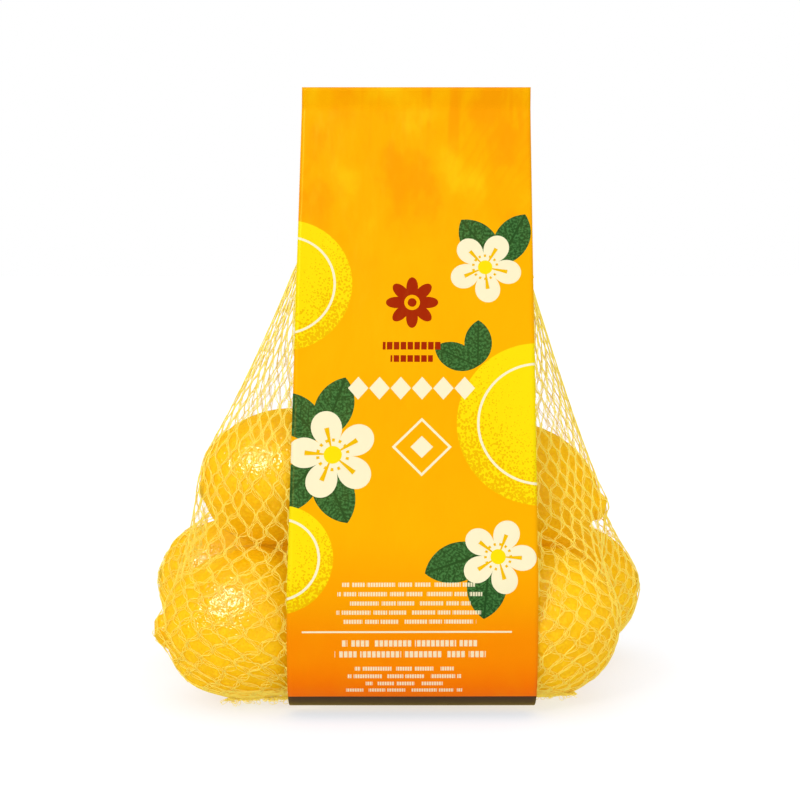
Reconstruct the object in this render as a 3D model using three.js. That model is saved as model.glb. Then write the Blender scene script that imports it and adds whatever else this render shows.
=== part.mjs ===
// A net bag of lemons with a printed film panel in front and another behind.
// The two panels are sealed to each other along the top. The net runs round the lemons,
// hangs taut from the header between the panels, and closes under the fruit.
// Millimetres, +Z up, the front panel faces -Y. The origin is the middle of the footprint.

import * as THREE from 'three';
import { mergeVertices } from 'three/addons/utils/BufferGeometryUtils.js';

// ---- driving dimensions -------------------------------------------------------------

const BAG_HEIGHT = 237;        // floor to the top edge of the header
const SEAL_HEIGHT = 8;         // band along the top where the two panels are welded
const NET_THICKNESS = 1.0;     // knitted strands lying over the fruit
const NET_TOP = 222;           // where the gathered net ends between the panels
const NET_TOP_WIDTH = 44;      // width of that gathered end
const NET_EMERGES = 164;       // below this height the net spreads past the panels' edges

const PANEL_WIDTH = 92.2;      // each film panel, over the fruit
const PANEL_TOP_WIDTH = 89.8;  // and at the header's top edge
const PANEL_CENTRE = 4.7;      // the panels sit a little right of the middle of the fruit
const PANEL_TOP_CENTRE = 6.6;  // and lean further right towards the top
const PANEL_BOTTOM = 9;        // lower edge of both panels, above the floor
const PANEL_THICKNESS = 0.5;
const PANEL_GAP = 0.2;         // free space on each side of a panel's inner face

const BULGE_DEPTH = 59.8;      // from the middle plane to the panel's inner face at the fruit
const BULGE_HEIGHT = 44;       // height of the widest part of the bulge
const BULGE_SQUARENESS = 5;    // exponent of the bulge's lower quarter, 2 would be an ellipse
const FOOT_HEIGHT = 0.6;       // the underside is pressed flat up to here

const NET_LEVELS = 48;         // rings of the net's surface, closer together near the floor
const LEVEL_GROWTH = 1.35;     // 1 would space them evenly
const SIDE_STEPS = 32;         // steps round each side, from the front panel to the back one
const FACE_STEPS = 2;          // steps across the flat behind each panel
const FAN_ANGLE = 78;          // the side's steps fan out from -78 to +78 degrees
const PANEL_ROWS = 30;         // closer together near the lower edge
const ROW_GROWTH = 1.2;
const PANEL_COLUMNS = 8;

const TENSION_SWEEPS = 900;    // relaxation sweeps that pull the net taut over the fruit
const SWEEPS_PER_SINK = 30;    // after as many, the slack parts' sinking is worked out again
const UPRIGHT_TENSION = 0.95;  // share of the pull that runs up and down the bag
const CLING = 0.06;            // curvature, per mm, of the net where it sinks between lemons
const CLING_FROM = 4;          // the net sinks where it is farther than this from the fruit
const CLING_FULL = 14;         // and takes on that whole curvature from here
const CREST_WIDTH = 8;         // the net stays taut this close to its widest line
const CREST_ENDS = 22;         // and may sink fully from here
const CLING_FADES = 88;        // above this height the net is drawn straight again
const CLING_ENDS = 118;        // and from here it is quite taut

// Each lemon: its middle, where its nipple points (heading in plan, 0 = +X and 90 = +Y,
// and rise above the horizon, both in degrees), its length and its diameter.
const LEMONS = [
  { name: 'front_left', centre: [-59.2, -29.5, 30.2], heading: 184, rise: -5, length: 72, diameter: 58.6 },
  { name: 'back_left', centre: [-67.6, 29.5, 31.6], heading: 12, rise: -9, length: 70, diameter: 57.0 },
  { name: 'front_right', centre: [53.6, -29.5, 30.2], heading: 222, rise: 4, length: 66, diameter: 58.6 },
  { name: 'back_right', centre: [65.9, 29.5, 29.6], heading: 170, rise: -8, length: 72, diameter: 56.6 },
  { name: 'middle_low', centre: [-0.1, 6.0, 28.6], heading: 84, rise: 0, length: 72, diameter: 55.0 },
  { name: 'upper_left', centre: [-43.6, -20.0, 85.0], heading: 18, rise: 11, length: 70, diameter: 53.0 },
  { name: 'upper_right', centre: [51.1, 4.0, 77.8], heading: 18, rise: -17, length: 72, diameter: 53.6 },
  { name: 'middle_high', centre: [-12.1, 23.2, 77.9], heading: 169, rise: 0, length: 65, diameter: 50.0 },
];

// A lemon's outline blends three arcs along its axis, which runs from -1 at the stem to 1 at
// the nipple's tip. The arcs' radii are shares of half the lemon's diameter.
const BODY_ARC = { middle: -0.05, halfLength: 0.90, radius: 1 };
const NIPPLE_ARC = { middle: 0.70, halfLength: 0.30, radius: 0.26 };
const STEM_ARC = { middle: -0.78, halfLength: 0.21, radius: 0.30 };
const ARC_BLEND = 2.5;         // exponent of the blend, higher is crisper

// ---- the fruit ----------------------------------------------------------------------

const radians = THREE.MathUtils.degToRad;

/** A lemon's radius, as a share of half its diameter, at s from -1 (stem) to 1 (nipple). */
function lemonProfile(s) {
  const sum = [BODY_ARC, NIPPLE_ARC, STEM_ARC].reduce((total, { middle, halfLength, radius }) => {
    const t = (s - middle) / halfLength;
    return total + (radius * Math.sqrt(Math.max(0, 1 - t * t))) ** ARC_BLEND;
  }, 0);
  return sum ** (1 / ARC_BLEND);
}

/** The unit vector along a lemon, towards its nipple. */
function lemonAxis({ heading, rise }) {
  const flat = Math.cos(radians(rise));
  return new THREE.Vector3(
    Math.cos(radians(heading)) * flat,
    Math.sin(radians(heading)) * flat,
    Math.sin(radians(rise)),
  );
}

const fruit = LEMONS.map((lemon) => ({
  middle: new THREE.Vector3(...lemon.centre),
  axis: lemonAxis(lemon),
  halfLength: lemon.length / 2,
  radius: lemon.diameter / 2,
}));

/** True where a point lies inside some lemon with the net's thickness added round it. */
function insideFruit(point) {
  const offset = new THREE.Vector3();
  return fruit.some((lemon) => {
    offset.subVectors(point, lemon.middle);
    const along = offset.dot(lemon.axis);
    const s = along / (lemon.halfLength + NET_THICKNESS);
    if (Math.abs(s) >= 1) return false;
    const across = Math.sqrt(Math.max(0, offset.lengthSq() - along * along));
    return across < lemonProfile(s) * lemon.radius + NET_THICKNESS;
  });
}

/** How far from start, along direction, the outermost lemon's surface lies, or 0 if none is met. */
function reachOfFruit(start, direction) {
  const farthest = 90;
  const stride = 1.5;
  const point = new THREE.Vector3();
  const hit = (d) => insideFruit(point.copy(start).addScaledVector(direction, d));
  for (let d = farthest; d > 0; d -= stride) {
    if (!hit(d)) continue;
    let low = d;
    let high = d + stride;
    for (let halving = 0; halving < 8; halving += 1) {
      const mid = (low + high) / 2;
      if (hit(mid)) low = mid;
      else high = mid;
    }
    return low;
  }
  return 0;
}

/** The distance from a point to the nearest lemon's surface, as good as 0 inside. */
function clearanceOfFruit(point) {
  const offset = new THREE.Vector3();
  return Math.min(...fruit.map((lemon) => {
    offset.subVectors(point, lemon.middle);
    const along = offset.dot(lemon.axis);
    const across = Math.sqrt(Math.max(0, offset.lengthSq() - along * along));
    const s = THREE.MathUtils.clamp(along / lemon.halfLength, -0.9, 0.9);
    const beyond = along - s * lemon.halfLength;
    return Math.hypot(beyond, Math.max(0, across - lemonProfile(s) * lemon.radius));
  }));
}

// ---- the film's side profile, which the net behind it follows ---------------------------

const SEAL_Z = BAG_HEIGHT - SEAL_HEIGHT;

/** Half the bag's depth at height z: a squarish bulge, then a taut straight run to the seal. */
function halfDepth(z) {
  if (z <= BULGE_HEIGHT) {
    const drop = (BULGE_HEIGHT - Math.max(z, FOOT_HEIGHT)) / BULGE_HEIGHT;
    return BULGE_DEPTH * Math.pow(1 - drop ** BULGE_SQUARENESS, 1 / BULGE_SQUARENESS);
  }
  const leaving = Math.asin(BULGE_HEIGHT / (SEAL_Z - BULGE_HEIGHT));
  const leavingZ = BULGE_HEIGHT * (1 + Math.sin(leaving));
  if (z <= leavingZ) {
    return BULGE_DEPTH * Math.cos(Math.asin((z - BULGE_HEIGHT) / BULGE_HEIGHT));
  }
  const run = (SEAL_Z - z) / (SEAL_Z - leavingZ);
  return Math.max(0, BULGE_DEPTH * Math.cos(leaving) * run);
}

/** How far up the straight run height z is, from 0 at the bulge to 1 at the bag's top. */
function share(z) {
  return THREE.MathUtils.clamp((z - BULGE_HEIGHT) / (BAG_HEIGHT - BULGE_HEIGHT), 0, 1);
}

/** The x of the panels' middle line at height z. */
function panelCentre(z) {
  return THREE.MathUtils.lerp(PANEL_CENTRE, PANEL_TOP_CENTRE, share(z));
}

/** Half the panels' width at height z. */
function panelHalfWidth(z) {
  return THREE.MathUtils.lerp(PANEL_WIDTH, PANEL_TOP_WIDTH, share(z)) / 2;
}

// ---- the net, pulled taut over the fruit ----------------------------------------------

/** Half the net's width between the panels at height z: theirs, less in the gathered neck. */
function neckHalfWidth(z) {
  const gather = THREE.MathUtils.clamp((z - NET_EMERGES) / (NET_TOP - NET_EMERGES), 0, 1);
  return THREE.MathUtils.lerp(panelHalfWidth(z), NET_TOP_WIDTH / 2, gather);
}

const levels = Array.from(
  { length: NET_LEVELS + 1 },
  (_, k) => NET_TOP * (k / NET_LEVELS) ** LEVEL_GROWTH,
);

/** One side of the net, -1 left or +1 right: points from the front panel to the back, by level. */
function tautSide(side) {
  const rows = levels.map((z) => {
    const depth = halfDepth(z) - PANEL_GAP;
    const edge = panelCentre(z) + side * neckHalfWidth(z);
    return Array.from({ length: SIDE_STEPS + 1 }, (_, j) => {
      const t = j / SIDE_STEPS;
      const fan = radians((2 * t - 1) * FAN_ANGLE);
      const start = new THREE.Vector3(edge, (2 * t - 1) * depth, z);
      const direction = new THREE.Vector3(side * Math.cos(fan), Math.sin(fan), 0);
      const tied = j === 0 || j === SIDE_STEPS;
      const least = tied ? 0 : reachOfFruit(start, direction);
      return { start, direction, least, out: least, sink: 0, point: new THREE.Vector3() };
    });
  });
  const place = (node) => node.point.copy(node.start).addScaledVector(node.direction, node.out);
  rows.flat().forEach(place);

  // How far out along a node's direction the straight line between its two neighbours passes.
  const levelPull = ({ start, direction }, before, after) => {
    const chord = after.point.clone().sub(before.point);
    const gap = before.point.clone().sub(start);
    const spread = direction.x * chord.y - direction.y * chord.x;
    return (gap.x * chord.y - gap.y * chord.x) / spread;
  };
  const uprightPull = (node, below, above) => {
    const rise = above.point.z - below.point.z;
    const fraction = (node.start.z - below.point.z) / rise;
    const taut = below.point.clone().lerp(above.point, fraction);
    return taut.sub(node.start).dot(node.direction);
  };

  // How far a node lies in from the straight line between its neighbours, where the net is slack.
  const sinkOf = ({ point }, spacing, widest) => {
    const crest = THREE.MathUtils.smoothstep(widest - side * point.x, CREST_WIDTH, CREST_ENDS);
    const loose = THREE.MathUtils.smoothstep(clearanceOfFruit(point), CLING_FROM, CLING_FULL);
    const low = 1 - THREE.MathUtils.smoothstep(point.z, CLING_FADES, CLING_ENDS);
    return (CLING / 2) * crest * loose * low * spacing * spacing;
  };

  for (let sweep = 0; sweep < TENSION_SWEEPS; sweep += 1) {
    if (sweep % SWEEPS_PER_SINK === 0) {
      for (let k = 1; k < NET_LEVELS; k += 1) {
        const spacing = (levels[k + 1] - levels[k - 1]) / 2;
        const widest = Math.max(...rows[k].map(({ point }) => side * point.x));
        for (const node of rows[k]) node.sink = sinkOf(node, spacing, widest);
      }
    }
    for (let k = 0; k < NET_LEVELS; k += 1) {
      for (let j = 1; j < SIDE_STEPS; j += 1) {
        const node = rows[k][j];
        let pull = levelPull(node, rows[k][j - 1], rows[k][j + 1]);
        if (k > 0) {
          const upright = uprightPull(node, rows[k - 1][j], rows[k + 1][j]);
          pull = THREE.MathUtils.lerp(pull, upright, UPRIGHT_TENSION) - node.sink;
        }
        node.out = Math.max(node.least, pull, 0);
        place(node);
      }
    }
  }
  return rows.map((row) => row.map((node) => node.point));
}

/** Points strictly between two ends of a straight run. */
function between(from, to, steps) {
  return Array.from({ length: steps - 1 }, (_, i) => from.clone().lerp(to, (i + 1) / steps));
}

/** Joins rings of equal length, anticlockwise seen from above, into a closed solid with flat ends. */
function loft(rings) {
  const count = rings[0].length;
  const positions = rings.flat().flatMap((p) => [p.x, p.y, p.z]);
  const triangles = [];
  for (let k = 0; k + 1 < rings.length; k += 1) {
    for (let i = 0; i < count; i += 1) {
      const a = k * count + i;
      const b = k * count + ((i + 1) % count);
      triangles.push(a, b, b + count, a, b + count, a + count);
    }
  }
  const cap = (ring, first, upwards) => {
    const outline = ring.map((p) => new THREE.Vector2(p.x, p.y));
    for (const [a, b, c] of THREE.ShapeUtils.triangulateShape(outline, [])) {
      triangles.push(first + a, first + (upwards ? b : c), first + (upwards ? c : b));
    }
  };
  cap(rings[0], 0, false);
  cap(rings.at(-1), (rings.length - 1) * count, true);
  const geometry = new THREE.BufferGeometry();
  geometry.setAttribute('position', new THREE.Float32BufferAttribute(positions, 3));
  geometry.setIndex(triangles);
  return geometry;
}

/** The whole net: each ring takes in the right side, the back, the left side and the front. */
function netGeometry() {
  const left = tautSide(-1);
  const right = tautSide(1);
  const rings = levels.map((_, k) => [
    ...right[k],
    ...between(right[k].at(-1), left[k].at(-1), FACE_STEPS),
    ...left[k].toReversed(),
    ...between(left[k][0], right[k][0], FACE_STEPS),
  ]);
  return loft(rings);
}

// ---- the two printed film panels --------------------------------------------------------

/** One panel, facing -1 front or +1 back: a thin sheet from its lower edge up to the header's top. */
function panelGeometry(facing) {
  const skins = [PANEL_GAP, PANEL_GAP + PANEL_THICKNESS];
  const across = PANEL_COLUMNS + 1;
  const perSkin = across * (PANEL_ROWS + 1);
  const positions = [];
  for (const stand of skins) {
    for (let row = 0; row <= PANEL_ROWS; row += 1) {
      const z = THREE.MathUtils.lerp(PANEL_BOTTOM, BAG_HEIGHT, (row / PANEL_ROWS) ** ROW_GROWTH);
      for (let column = 0; column < across; column += 1) {
        const x = panelCentre(z) + panelHalfWidth(z) * (2 * column / PANEL_COLUMNS - 1);
        positions.push(x, facing * (halfDepth(z) + stand), z);
      }
    }
  }
  const triangles = [];
  const quad = (a, b, c, d) => {
    if (facing < 0) triangles.push(a, b, c, a, c, d);
    else triangles.push(a, c, b, a, d, c);
  };
  for (let row = 0; row < PANEL_ROWS; row += 1) {
    for (let column = 0; column < PANEL_COLUMNS; column += 1) {
      const inner = row * across + column;
      const outer = inner + perSkin;
      quad(outer, outer + 1, outer + across + 1, outer + across);
      quad(inner, inner + across, inner + across + 1, inner + 1);
    }
    const left = row * across;
    const right = left + PANEL_COLUMNS;
    quad(left, left + perSkin, left + perSkin + across, left + across);
    quad(right, right + across, right + across + perSkin, right + perSkin);
  }
  const top = PANEL_ROWS * across;
  for (let column = 0; column < PANEL_COLUMNS; column += 1) {
    quad(column, column + 1, column + 1 + perSkin, column + perSkin);
    const high = top + column;
    quad(high, high + perSkin, high + perSkin + 1, high + 1);
  }
  const geometry = new THREE.BufferGeometry();
  geometry.setAttribute('position', new THREE.Float32BufferAttribute(positions, 3));
  geometry.setIndex(triangles);
  return geometry;
}

// ---- the model --------------------------------------------------------------------------

/** A named mesh with smooth normals and a plain material. */
function part(name, geometry, colour, roughness) {
  const smooth = mergeVertices(geometry);
  smooth.computeVertexNormals();
  const material = new THREE.MeshStandardMaterial({ color: colour, roughness, metalness: 0 });
  const mesh = new THREE.Mesh(smooth, material);
  mesh.name = name;
  return mesh;
}

const bag = new THREE.Group();
bag.add(part('net_of_lemons', netGeometry(), 0xf6c02c, 0.55));
bag.add(part('panel_front', panelGeometry(-1), 0xffa800, 0.35));
bag.add(part('panel_back', panelGeometry(1), 0xffa800, 0.35));

export default bag;
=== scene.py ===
"""A net bag of lemons, standing, with a printed film panel in front and another behind.

The lemons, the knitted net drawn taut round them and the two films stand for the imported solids.
Shapes are worked out in millimetres and written to meshes in metres. +Z is up and -Y is the front.
"""

import logging
import math
from dataclasses import dataclass, field
from enum import Enum

import bpy
import numpy as np
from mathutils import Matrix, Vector


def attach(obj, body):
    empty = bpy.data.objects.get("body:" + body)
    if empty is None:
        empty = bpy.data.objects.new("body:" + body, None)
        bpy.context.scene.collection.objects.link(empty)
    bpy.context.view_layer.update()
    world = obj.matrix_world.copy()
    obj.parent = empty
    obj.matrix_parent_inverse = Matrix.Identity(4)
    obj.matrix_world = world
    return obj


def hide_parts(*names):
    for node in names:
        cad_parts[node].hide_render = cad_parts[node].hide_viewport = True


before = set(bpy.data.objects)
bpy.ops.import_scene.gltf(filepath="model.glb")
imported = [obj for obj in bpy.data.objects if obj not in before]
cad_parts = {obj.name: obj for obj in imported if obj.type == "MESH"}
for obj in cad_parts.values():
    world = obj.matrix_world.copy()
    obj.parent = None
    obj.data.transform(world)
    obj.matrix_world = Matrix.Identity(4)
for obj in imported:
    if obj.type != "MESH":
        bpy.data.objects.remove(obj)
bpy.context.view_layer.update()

log = logging.getLogger("net_of_lemons")

MM = 0.001
BODY = "root"
FAR = 1.0e3            # a distance past all others, in millimetres
CLEARANCE = 1.6        # filaments stay this many radii clear of the peel, counted to their middles
FLOOR_CLEARANCE = 1.2  # and this many above the floor
Point = tuple[float, float, float]
Colour = tuple[float, float, float]


# ---- Small helpers ----


def smoothstep(value: np.ndarray, low: float, high: float) -> np.ndarray:
    """Eases from 0 to 1.

    Args:
        value: Where to read the ease.
        low: The value at which it leaves 0.
        high: The value at which it reaches 1.

    Returns:
        The eased share, of value's shape.
    """
    t = np.clip((value - low) / (high - low), 0.0, 1.0)
    return t * t * (3.0 - 2.0 * t)


def unit(vectors: np.ndarray) -> np.ndarray:
    """Scales vectors to a length of 1.

    Args:
        vectors: Rows of x, y, z.

    Returns:
        The unit vectors. One of no length stays as it is.
    """
    return vectors / np.maximum(np.linalg.norm(vectors, axis=-1, keepdims=True), 1e-9)


def along_line(wanted: np.ndarray, stops: np.ndarray, line: np.ndarray) -> np.ndarray:
    """Reads a line of points between its stops.

    Args:
        wanted: Where it is read.
        stops: Where each of its points lies.
        line: Its points, as rows of x, y, z.

    Returns:
        A row of x, y, z for each wanted place.
    """
    return np.stack([np.interp(wanted, stops, line[:, axis]) for axis in range(3)], axis=-1)


def deselect() -> None:
    """Leaves edit mode and clears the selection."""
    if bpy.context.object is not None and bpy.context.object.mode != "OBJECT":
        bpy.ops.object.mode_set(mode="OBJECT")
    bpy.ops.object.select_all(action="DESELECT")


def apply_modifier(piece: bpy.types.Object, kind: str, **settings: object) -> None:
    """Adds a modifier to a piece and applies it.

    Args:
        piece: The piece, a mesh.
        kind: Blender's name of the modifier's type.
        **settings: The modifier's own settings.
    """
    deselect()
    piece.select_set(True)
    bpy.context.view_layer.objects.active = piece
    modifier = piece.modifiers.new(kind.lower(), kind)
    for key, value in settings.items():
        setattr(modifier, key, value)
    bpy.ops.object.modifier_apply(modifier=modifier.name)


def move_vertices(piece: bpy.types.Object, points: np.ndarray) -> None:
    """Puts every vertex of a piece at a new place.

    Args:
        piece: The piece, a mesh.
        points: One row of x, y, z for each vertex, in millimetres.
    """
    piece.data.vertices.foreach_set("co", (points * MM).astype(np.float32).ravel())
    piece.data.update()


def vertex_array(piece: bpy.types.Object) -> np.ndarray:
    """Gives the places of a piece's vertices.

    Args:
        piece: The piece, a mesh.

    Returns:
        Rows of x, y, z in the mesh's own units.
    """
    flat = np.empty(len(piece.data.vertices) * 3, np.float32)
    piece.data.vertices.foreach_get("co", flat)
    return flat.reshape(-1, 3).astype(float)


def mesh_piece(name: str, points: np.ndarray, quads: np.ndarray) -> bpy.types.Object:
    """Makes a piece from arrays.

    Args:
        name: The piece's name.
        points: Rows of x, y, z in millimetres.
        quads: Rows of four vertex numbers.

    Returns:
        The new piece, linked to the scene, with flat faces.
    """
    mesh = bpy.data.meshes.new(name)
    mesh.vertices.add(len(points))
    mesh.vertices.foreach_set("co", (points * MM).astype(np.float32).ravel())
    mesh.loops.add(quads.size)
    mesh.loops.foreach_set("vertex_index", quads.astype(np.int32).ravel())
    mesh.polygons.add(len(quads))
    mesh.polygons.foreach_set("loop_start", np.arange(0, quads.size, 4, dtype=np.int32))
    mesh.update(calc_edges=True)
    mesh.validate()
    piece = bpy.data.objects.new(name, mesh)
    bpy.context.scene.collection.objects.link(piece)
    return piece


def seat(piece: bpy.types.Object, slot: str, *nodes: str) -> None:
    """Fixes a finished piece to the part.

    Args:
        piece: The piece.
        slot: Not used.
        *nodes: The solids that it stands for.
    """
    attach(piece, BODY)
    if nodes:
        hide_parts(*nodes)
    log.info("%s: %d faces", piece.name, len(piece.data.polygons))


# ---- The bag's own form ----


@dataclass(frozen=True)
class BagShape:
    """The film's side profile and width. The solids have the same form.

    Attributes:
        height: Floor to the header's top edge.
        seal: Height of the welded band along the top.
        panel_width: A panel's width over the fruit.
        panel_top_width: And at its top edge.
        centre: The x of the panels' middle line over the fruit.
        top_centre: And at the top edge.
        bulge_depth: From the middle plane to the film, at the fruit.
        bulge_height: Height of the widest part of the bulge.
        squareness: Exponent of the bulge's lower quarter.
        foot: The underside is pressed flat up to this height.
    """

    height: float = 237.0
    seal: float = 8.0
    panel_width: float = 92.2
    panel_top_width: float = 89.8
    centre: float = 4.7
    top_centre: float = 6.6
    bulge_depth: float = 59.8
    bulge_height: float = 44.0
    squareness: float = 5.0
    foot: float = 0.6

    def half_depth(self, z: np.ndarray) -> np.ndarray:
        """Half the bag's depth between the panels.

        Args:
            z: Heights.

        Returns:
            The depth from the middle plane at each height.
        """
        seal_z = self.height - self.seal
        drop = (self.bulge_height - np.clip(z, self.foot, self.bulge_height)) / self.bulge_height
        low = self.bulge_depth * (1.0 - drop**self.squareness) ** (1.0 / self.squareness)
        leaving = math.asin(self.bulge_height / (seal_z - self.bulge_height))
        leaving_z = self.bulge_height * (1.0 + math.sin(leaving))
        over = np.clip((z - self.bulge_height) / self.bulge_height, 0.0, 1.0)
        middle = self.bulge_depth * np.sqrt(1.0 - over**2)
        run = np.clip((seal_z - z) / (seal_z - leaving_z), 0.0, None)
        high = self.bulge_depth * math.cos(leaving) * run
        return np.where(z <= self.bulge_height, low, np.where(z <= leaving_z, middle, high))

    def share(self, z: np.ndarray) -> np.ndarray:
        """How far up the bag each height is, from 0 at the bulge to 1 at the top."""
        return np.clip((z - self.bulge_height) / (self.height - self.bulge_height), 0.0, 1.0)

    def middle_x(self, z: np.ndarray) -> np.ndarray:
        """The x of the panels' middle line at each height."""
        return self.centre + (self.top_centre - self.centre) * self.share(z)

    def half_width(self, z: np.ndarray) -> np.ndarray:
        """Half the panels' width at each height."""
        return 0.5 * (self.panel_width + (self.panel_top_width - self.panel_width) * self.share(z))


# ---- The lemons ----


@dataclass(frozen=True)
class Arc:
    """An elliptical arc of a lemon's outline, along its axis from -1 (stem) to 1 (nipple).

    Attributes:
        middle: Where the arc is widest.
        half_length: Half its length.
        radius: Its radius there, as a share of half the lemon's diameter.
    """

    middle: float
    half_length: float
    radius: float

    def at(self, s: np.ndarray) -> np.ndarray:
        """The arc's radius at s, and 0 outside it."""
        t = (s - self.middle) / self.half_length
        return self.radius * np.sqrt(np.clip(1.0 - t * t, 0.0, None))


@dataclass
class Lemon:
    """One lemon, with lumps, ridges towards its nipple and folds round its stem end.

    Attributes:
        name: The piece's name.
        centre: Its middle.
        heading: Where its nipple points in plan, in degrees, 0 along +X and 90 along +Y.
        rise: How far its nipple points above the horizon, in degrees.
        length: Its length.
        diameter: Its mean diameter.
        seed: Settles its own lumps.
        arcs: The arcs of its outline: body, nipple and stem end.
        blend: Exponent of the arcs' blend, higher is crisper.
        oval: How oval it is across, as a share of its radius.
        lump: Height of its lumps, as such a share.
        lumps: Each wave of them: its turns round the lemon, its drift along it and its share.
        ridge: Height of the ridges towards the nipple.
        ridged: The ridges rise between the first two of these places and are half as high at
            the last.
        stem_fold: Height of the folds round the stem end.
        folded: How far back along the axis the folds start, and where they are full.
        bend: How far the nipple leans aside.
        stretch: Middle and half length of the stretch of the axis that the peel covers.
        pits: Width and depth of the peel's pits, in metres.
        segments: Faces round the axis.
        rings: Faces along it.
        phases: The lemon's own phases, drawn from its seed.
    """

    name: str
    centre: Point
    heading: float
    rise: float
    length: float
    diameter: float
    seed: int
    arcs: tuple[Arc, ...] = (Arc(-0.05, 0.90, 1.0), Arc(0.70, 0.30, 0.26), Arc(-0.78, 0.21, 0.30))
    blend: float = 2.5
    oval: float = 0.014
    lump: float = 0.011
    lumps: tuple[tuple[float, float, float], ...] = (
        (3.0, 2.0, 1.0), (1.0, -3.4, 1.0), (4.0, 5.2, 0.6), (7.0, -6.0, 0.4)
    )
    ridge: float = 0.075
    ridged: tuple[float, float, float] = (0.30, 0.86, 1.0)
    stem_fold: float = 0.06
    folded: tuple[float, float] = (0.66, 0.9)
    bend: float = 0.05
    stretch: tuple[float, float] = (-0.012, 0.978)
    pits: tuple[float, float] = (0.0017, 0.00030)
    segments: int = 208
    rings: int = 150
    phases: np.ndarray = field(init=False)

    def __post_init__(self) -> None:
        """Draws the lemon's own phases."""
        self.phases = np.random.default_rng(self.seed).uniform(0.0, 2.0 * math.pi, 8)

    def axes(self) -> np.ndarray:
        """The lemon's own axes.

        Returns:
            Three rows of unit vectors: along the lemon to its nipple, and two across.
        """
        heading, rise = math.radians(self.heading), math.radians(self.rise)
        ahead, aside = math.cos(heading), math.sin(heading)
        along = np.array([ahead * math.cos(rise), aside * math.cos(rise), math.sin(rise)])
        side = np.array([-aside, ahead, 0.0])
        return np.stack([along, side, np.cross(along, side)])

    def outline(self, s: np.ndarray) -> np.ndarray:
        """The smooth lemon's radius at s, as a share of half its diameter."""
        return sum(arc.at(s) ** self.blend for arc in self.arcs) ** (1.0 / self.blend)

    def radius_at(self, s: np.ndarray, turn: np.ndarray) -> np.ndarray:
        """The lemon's radius, lumps and ridges included.

        Args:
            s: Places along the axis, from -1 to 1.
            turn: Angles round the axis.

        Returns:
            The radius at each place.
        """
        ph = self.phases
        oval = self.oval * np.cos(2.0 * turn + ph[0])
        lumps = self.lump * sum(
            share * np.cos(turns * turn + drift * s + phase)
            for (turns, drift, share), phase in zip(self.lumps, ph[1:5])
        )
        start, full, end = self.ridged
        ridges = self.ridge * smoothstep(s, start, full) * np.cos(5.0 * turn + ph[5])
        ridges = ridges * (1.0 - 0.5 * smoothstep(s, full, end))
        folds = self.stem_fold * smoothstep(-s, *self.folded) * np.cos(6.0 * turn + ph[6])
        return 0.5 * self.diameter * self.outline(s) * (1.0 + oval + lumps + ridges + folds)

    def sway(self, s: np.ndarray) -> np.ndarray:
        """How far the lemon's middle line leans aside at s, as rows along its two cross axes."""
        lean = self.bend * 0.5 * self.diameter * np.clip(s, 0.0, 1.0) ** 3
        return np.stack([lean * math.cos(self.phases[7]), lean * math.sin(self.phases[7])], axis=-1)

    def gap(self, points: np.ndarray) -> tuple[np.ndarray, np.ndarray]:
        """How far points are from the lemon.

        Args:
            points: Rows of x, y, z.

        Returns:
            The distance of each point from the peel, negative inside, and the way out.
        """
        step, steepest, tip, ends = 0.01, 6.0, 0.992, (-0.98, 0.99)
        axes = self.axes()
        local = (points - np.array(self.centre)) @ axes.T
        s = local[..., 0] / (0.5 * self.length)
        within = np.abs(s) < tip
        s = np.clip(s, *ends)
        across = local[..., 1:] - self.sway(s)
        turn = np.arctan2(across[..., 1], across[..., 0])
        rho = np.hypot(across[..., 0], across[..., 1])
        growth = self.radius_at(s + step, turn) - self.radius_at(s - step, turn)
        rise = np.clip(growth / (step * self.length), -steepest, steepest)
        steep = np.sqrt(1.0 + rise**2)
        distance = np.where(within, (rho - self.radius_at(s, turn)) / steep, FAR)
        radial = np.cos(turn)[..., None] * axes[1] + np.sin(turn)[..., None] * axes[2]
        return distance, (radial - rise[..., None] * axes[0]) / steep[..., None]

    def clearance(self, points: np.ndarray) -> np.ndarray:
        """How far points are from the smooth lemon.

        Args:
            points: Rows of x, y, z.

        Returns:
            The distances, as good as 0 inside.
        """
        blunt = 0.9
        local = (points - np.array(self.centre)) @ self.axes().T
        s = np.clip(local[..., 0] / (0.5 * self.length), -blunt, blunt)
        beyond = local[..., 0] - 0.5 * self.length * s
        across = np.hypot(local[..., 1], local[..., 2]) - 0.5 * self.diameter * self.outline(s)
        return np.hypot(beyond, np.maximum(0.0, across))

    def place(self, s: np.ndarray, turn: np.ndarray) -> np.ndarray:
        """Points on the peel.

        Args:
            s: Places along the axis.
            turn: Angles round it.

        Returns:
            Rows of x, y, z.
        """
        radius = self.radius_at(s, turn)[..., None]
        across = self.sway(s) + radius * np.stack([np.cos(turn), np.sin(turn)], axis=-1)
        local = np.concatenate([(0.5 * self.length * s)[..., None], across], axis=-1)
        return np.array(self.centre) + local @ self.axes()

    def build(self) -> bpy.types.Object:
        """Models the lemon from a sphere, drawn out to its outline and pitted all over.

        Returns:
            The finished piece, with its own turns and lengths as a UV map.
        """
        deselect()
        bpy.ops.mesh.primitive_uv_sphere_add(segments=self.segments, ring_count=self.rings)
        piece = bpy.context.object
        piece.name = piece.data.name = self.name
        ball = vertex_array(piece)
        s = self.stretch[0] + self.stretch[1] * ball[:, 2]
        turn = np.arctan2(ball[:, 1], ball[:, 0])
        move_vertices(piece, self.place(s, turn))
        self.map_peel(piece, ball)
        piece.data.shade_smooth()
        dimples = bpy.data.textures.new(f"{self.name}_dimples", "VORONOI")
        dimples.noise_scale, depth = self.pits
        pitting = {"texture_coords": "LOCAL", "strength": depth, "mid_level": 0.45}
        apply_modifier(piece, "DISPLACE", texture=dimples, **pitting)
        return piece

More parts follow.
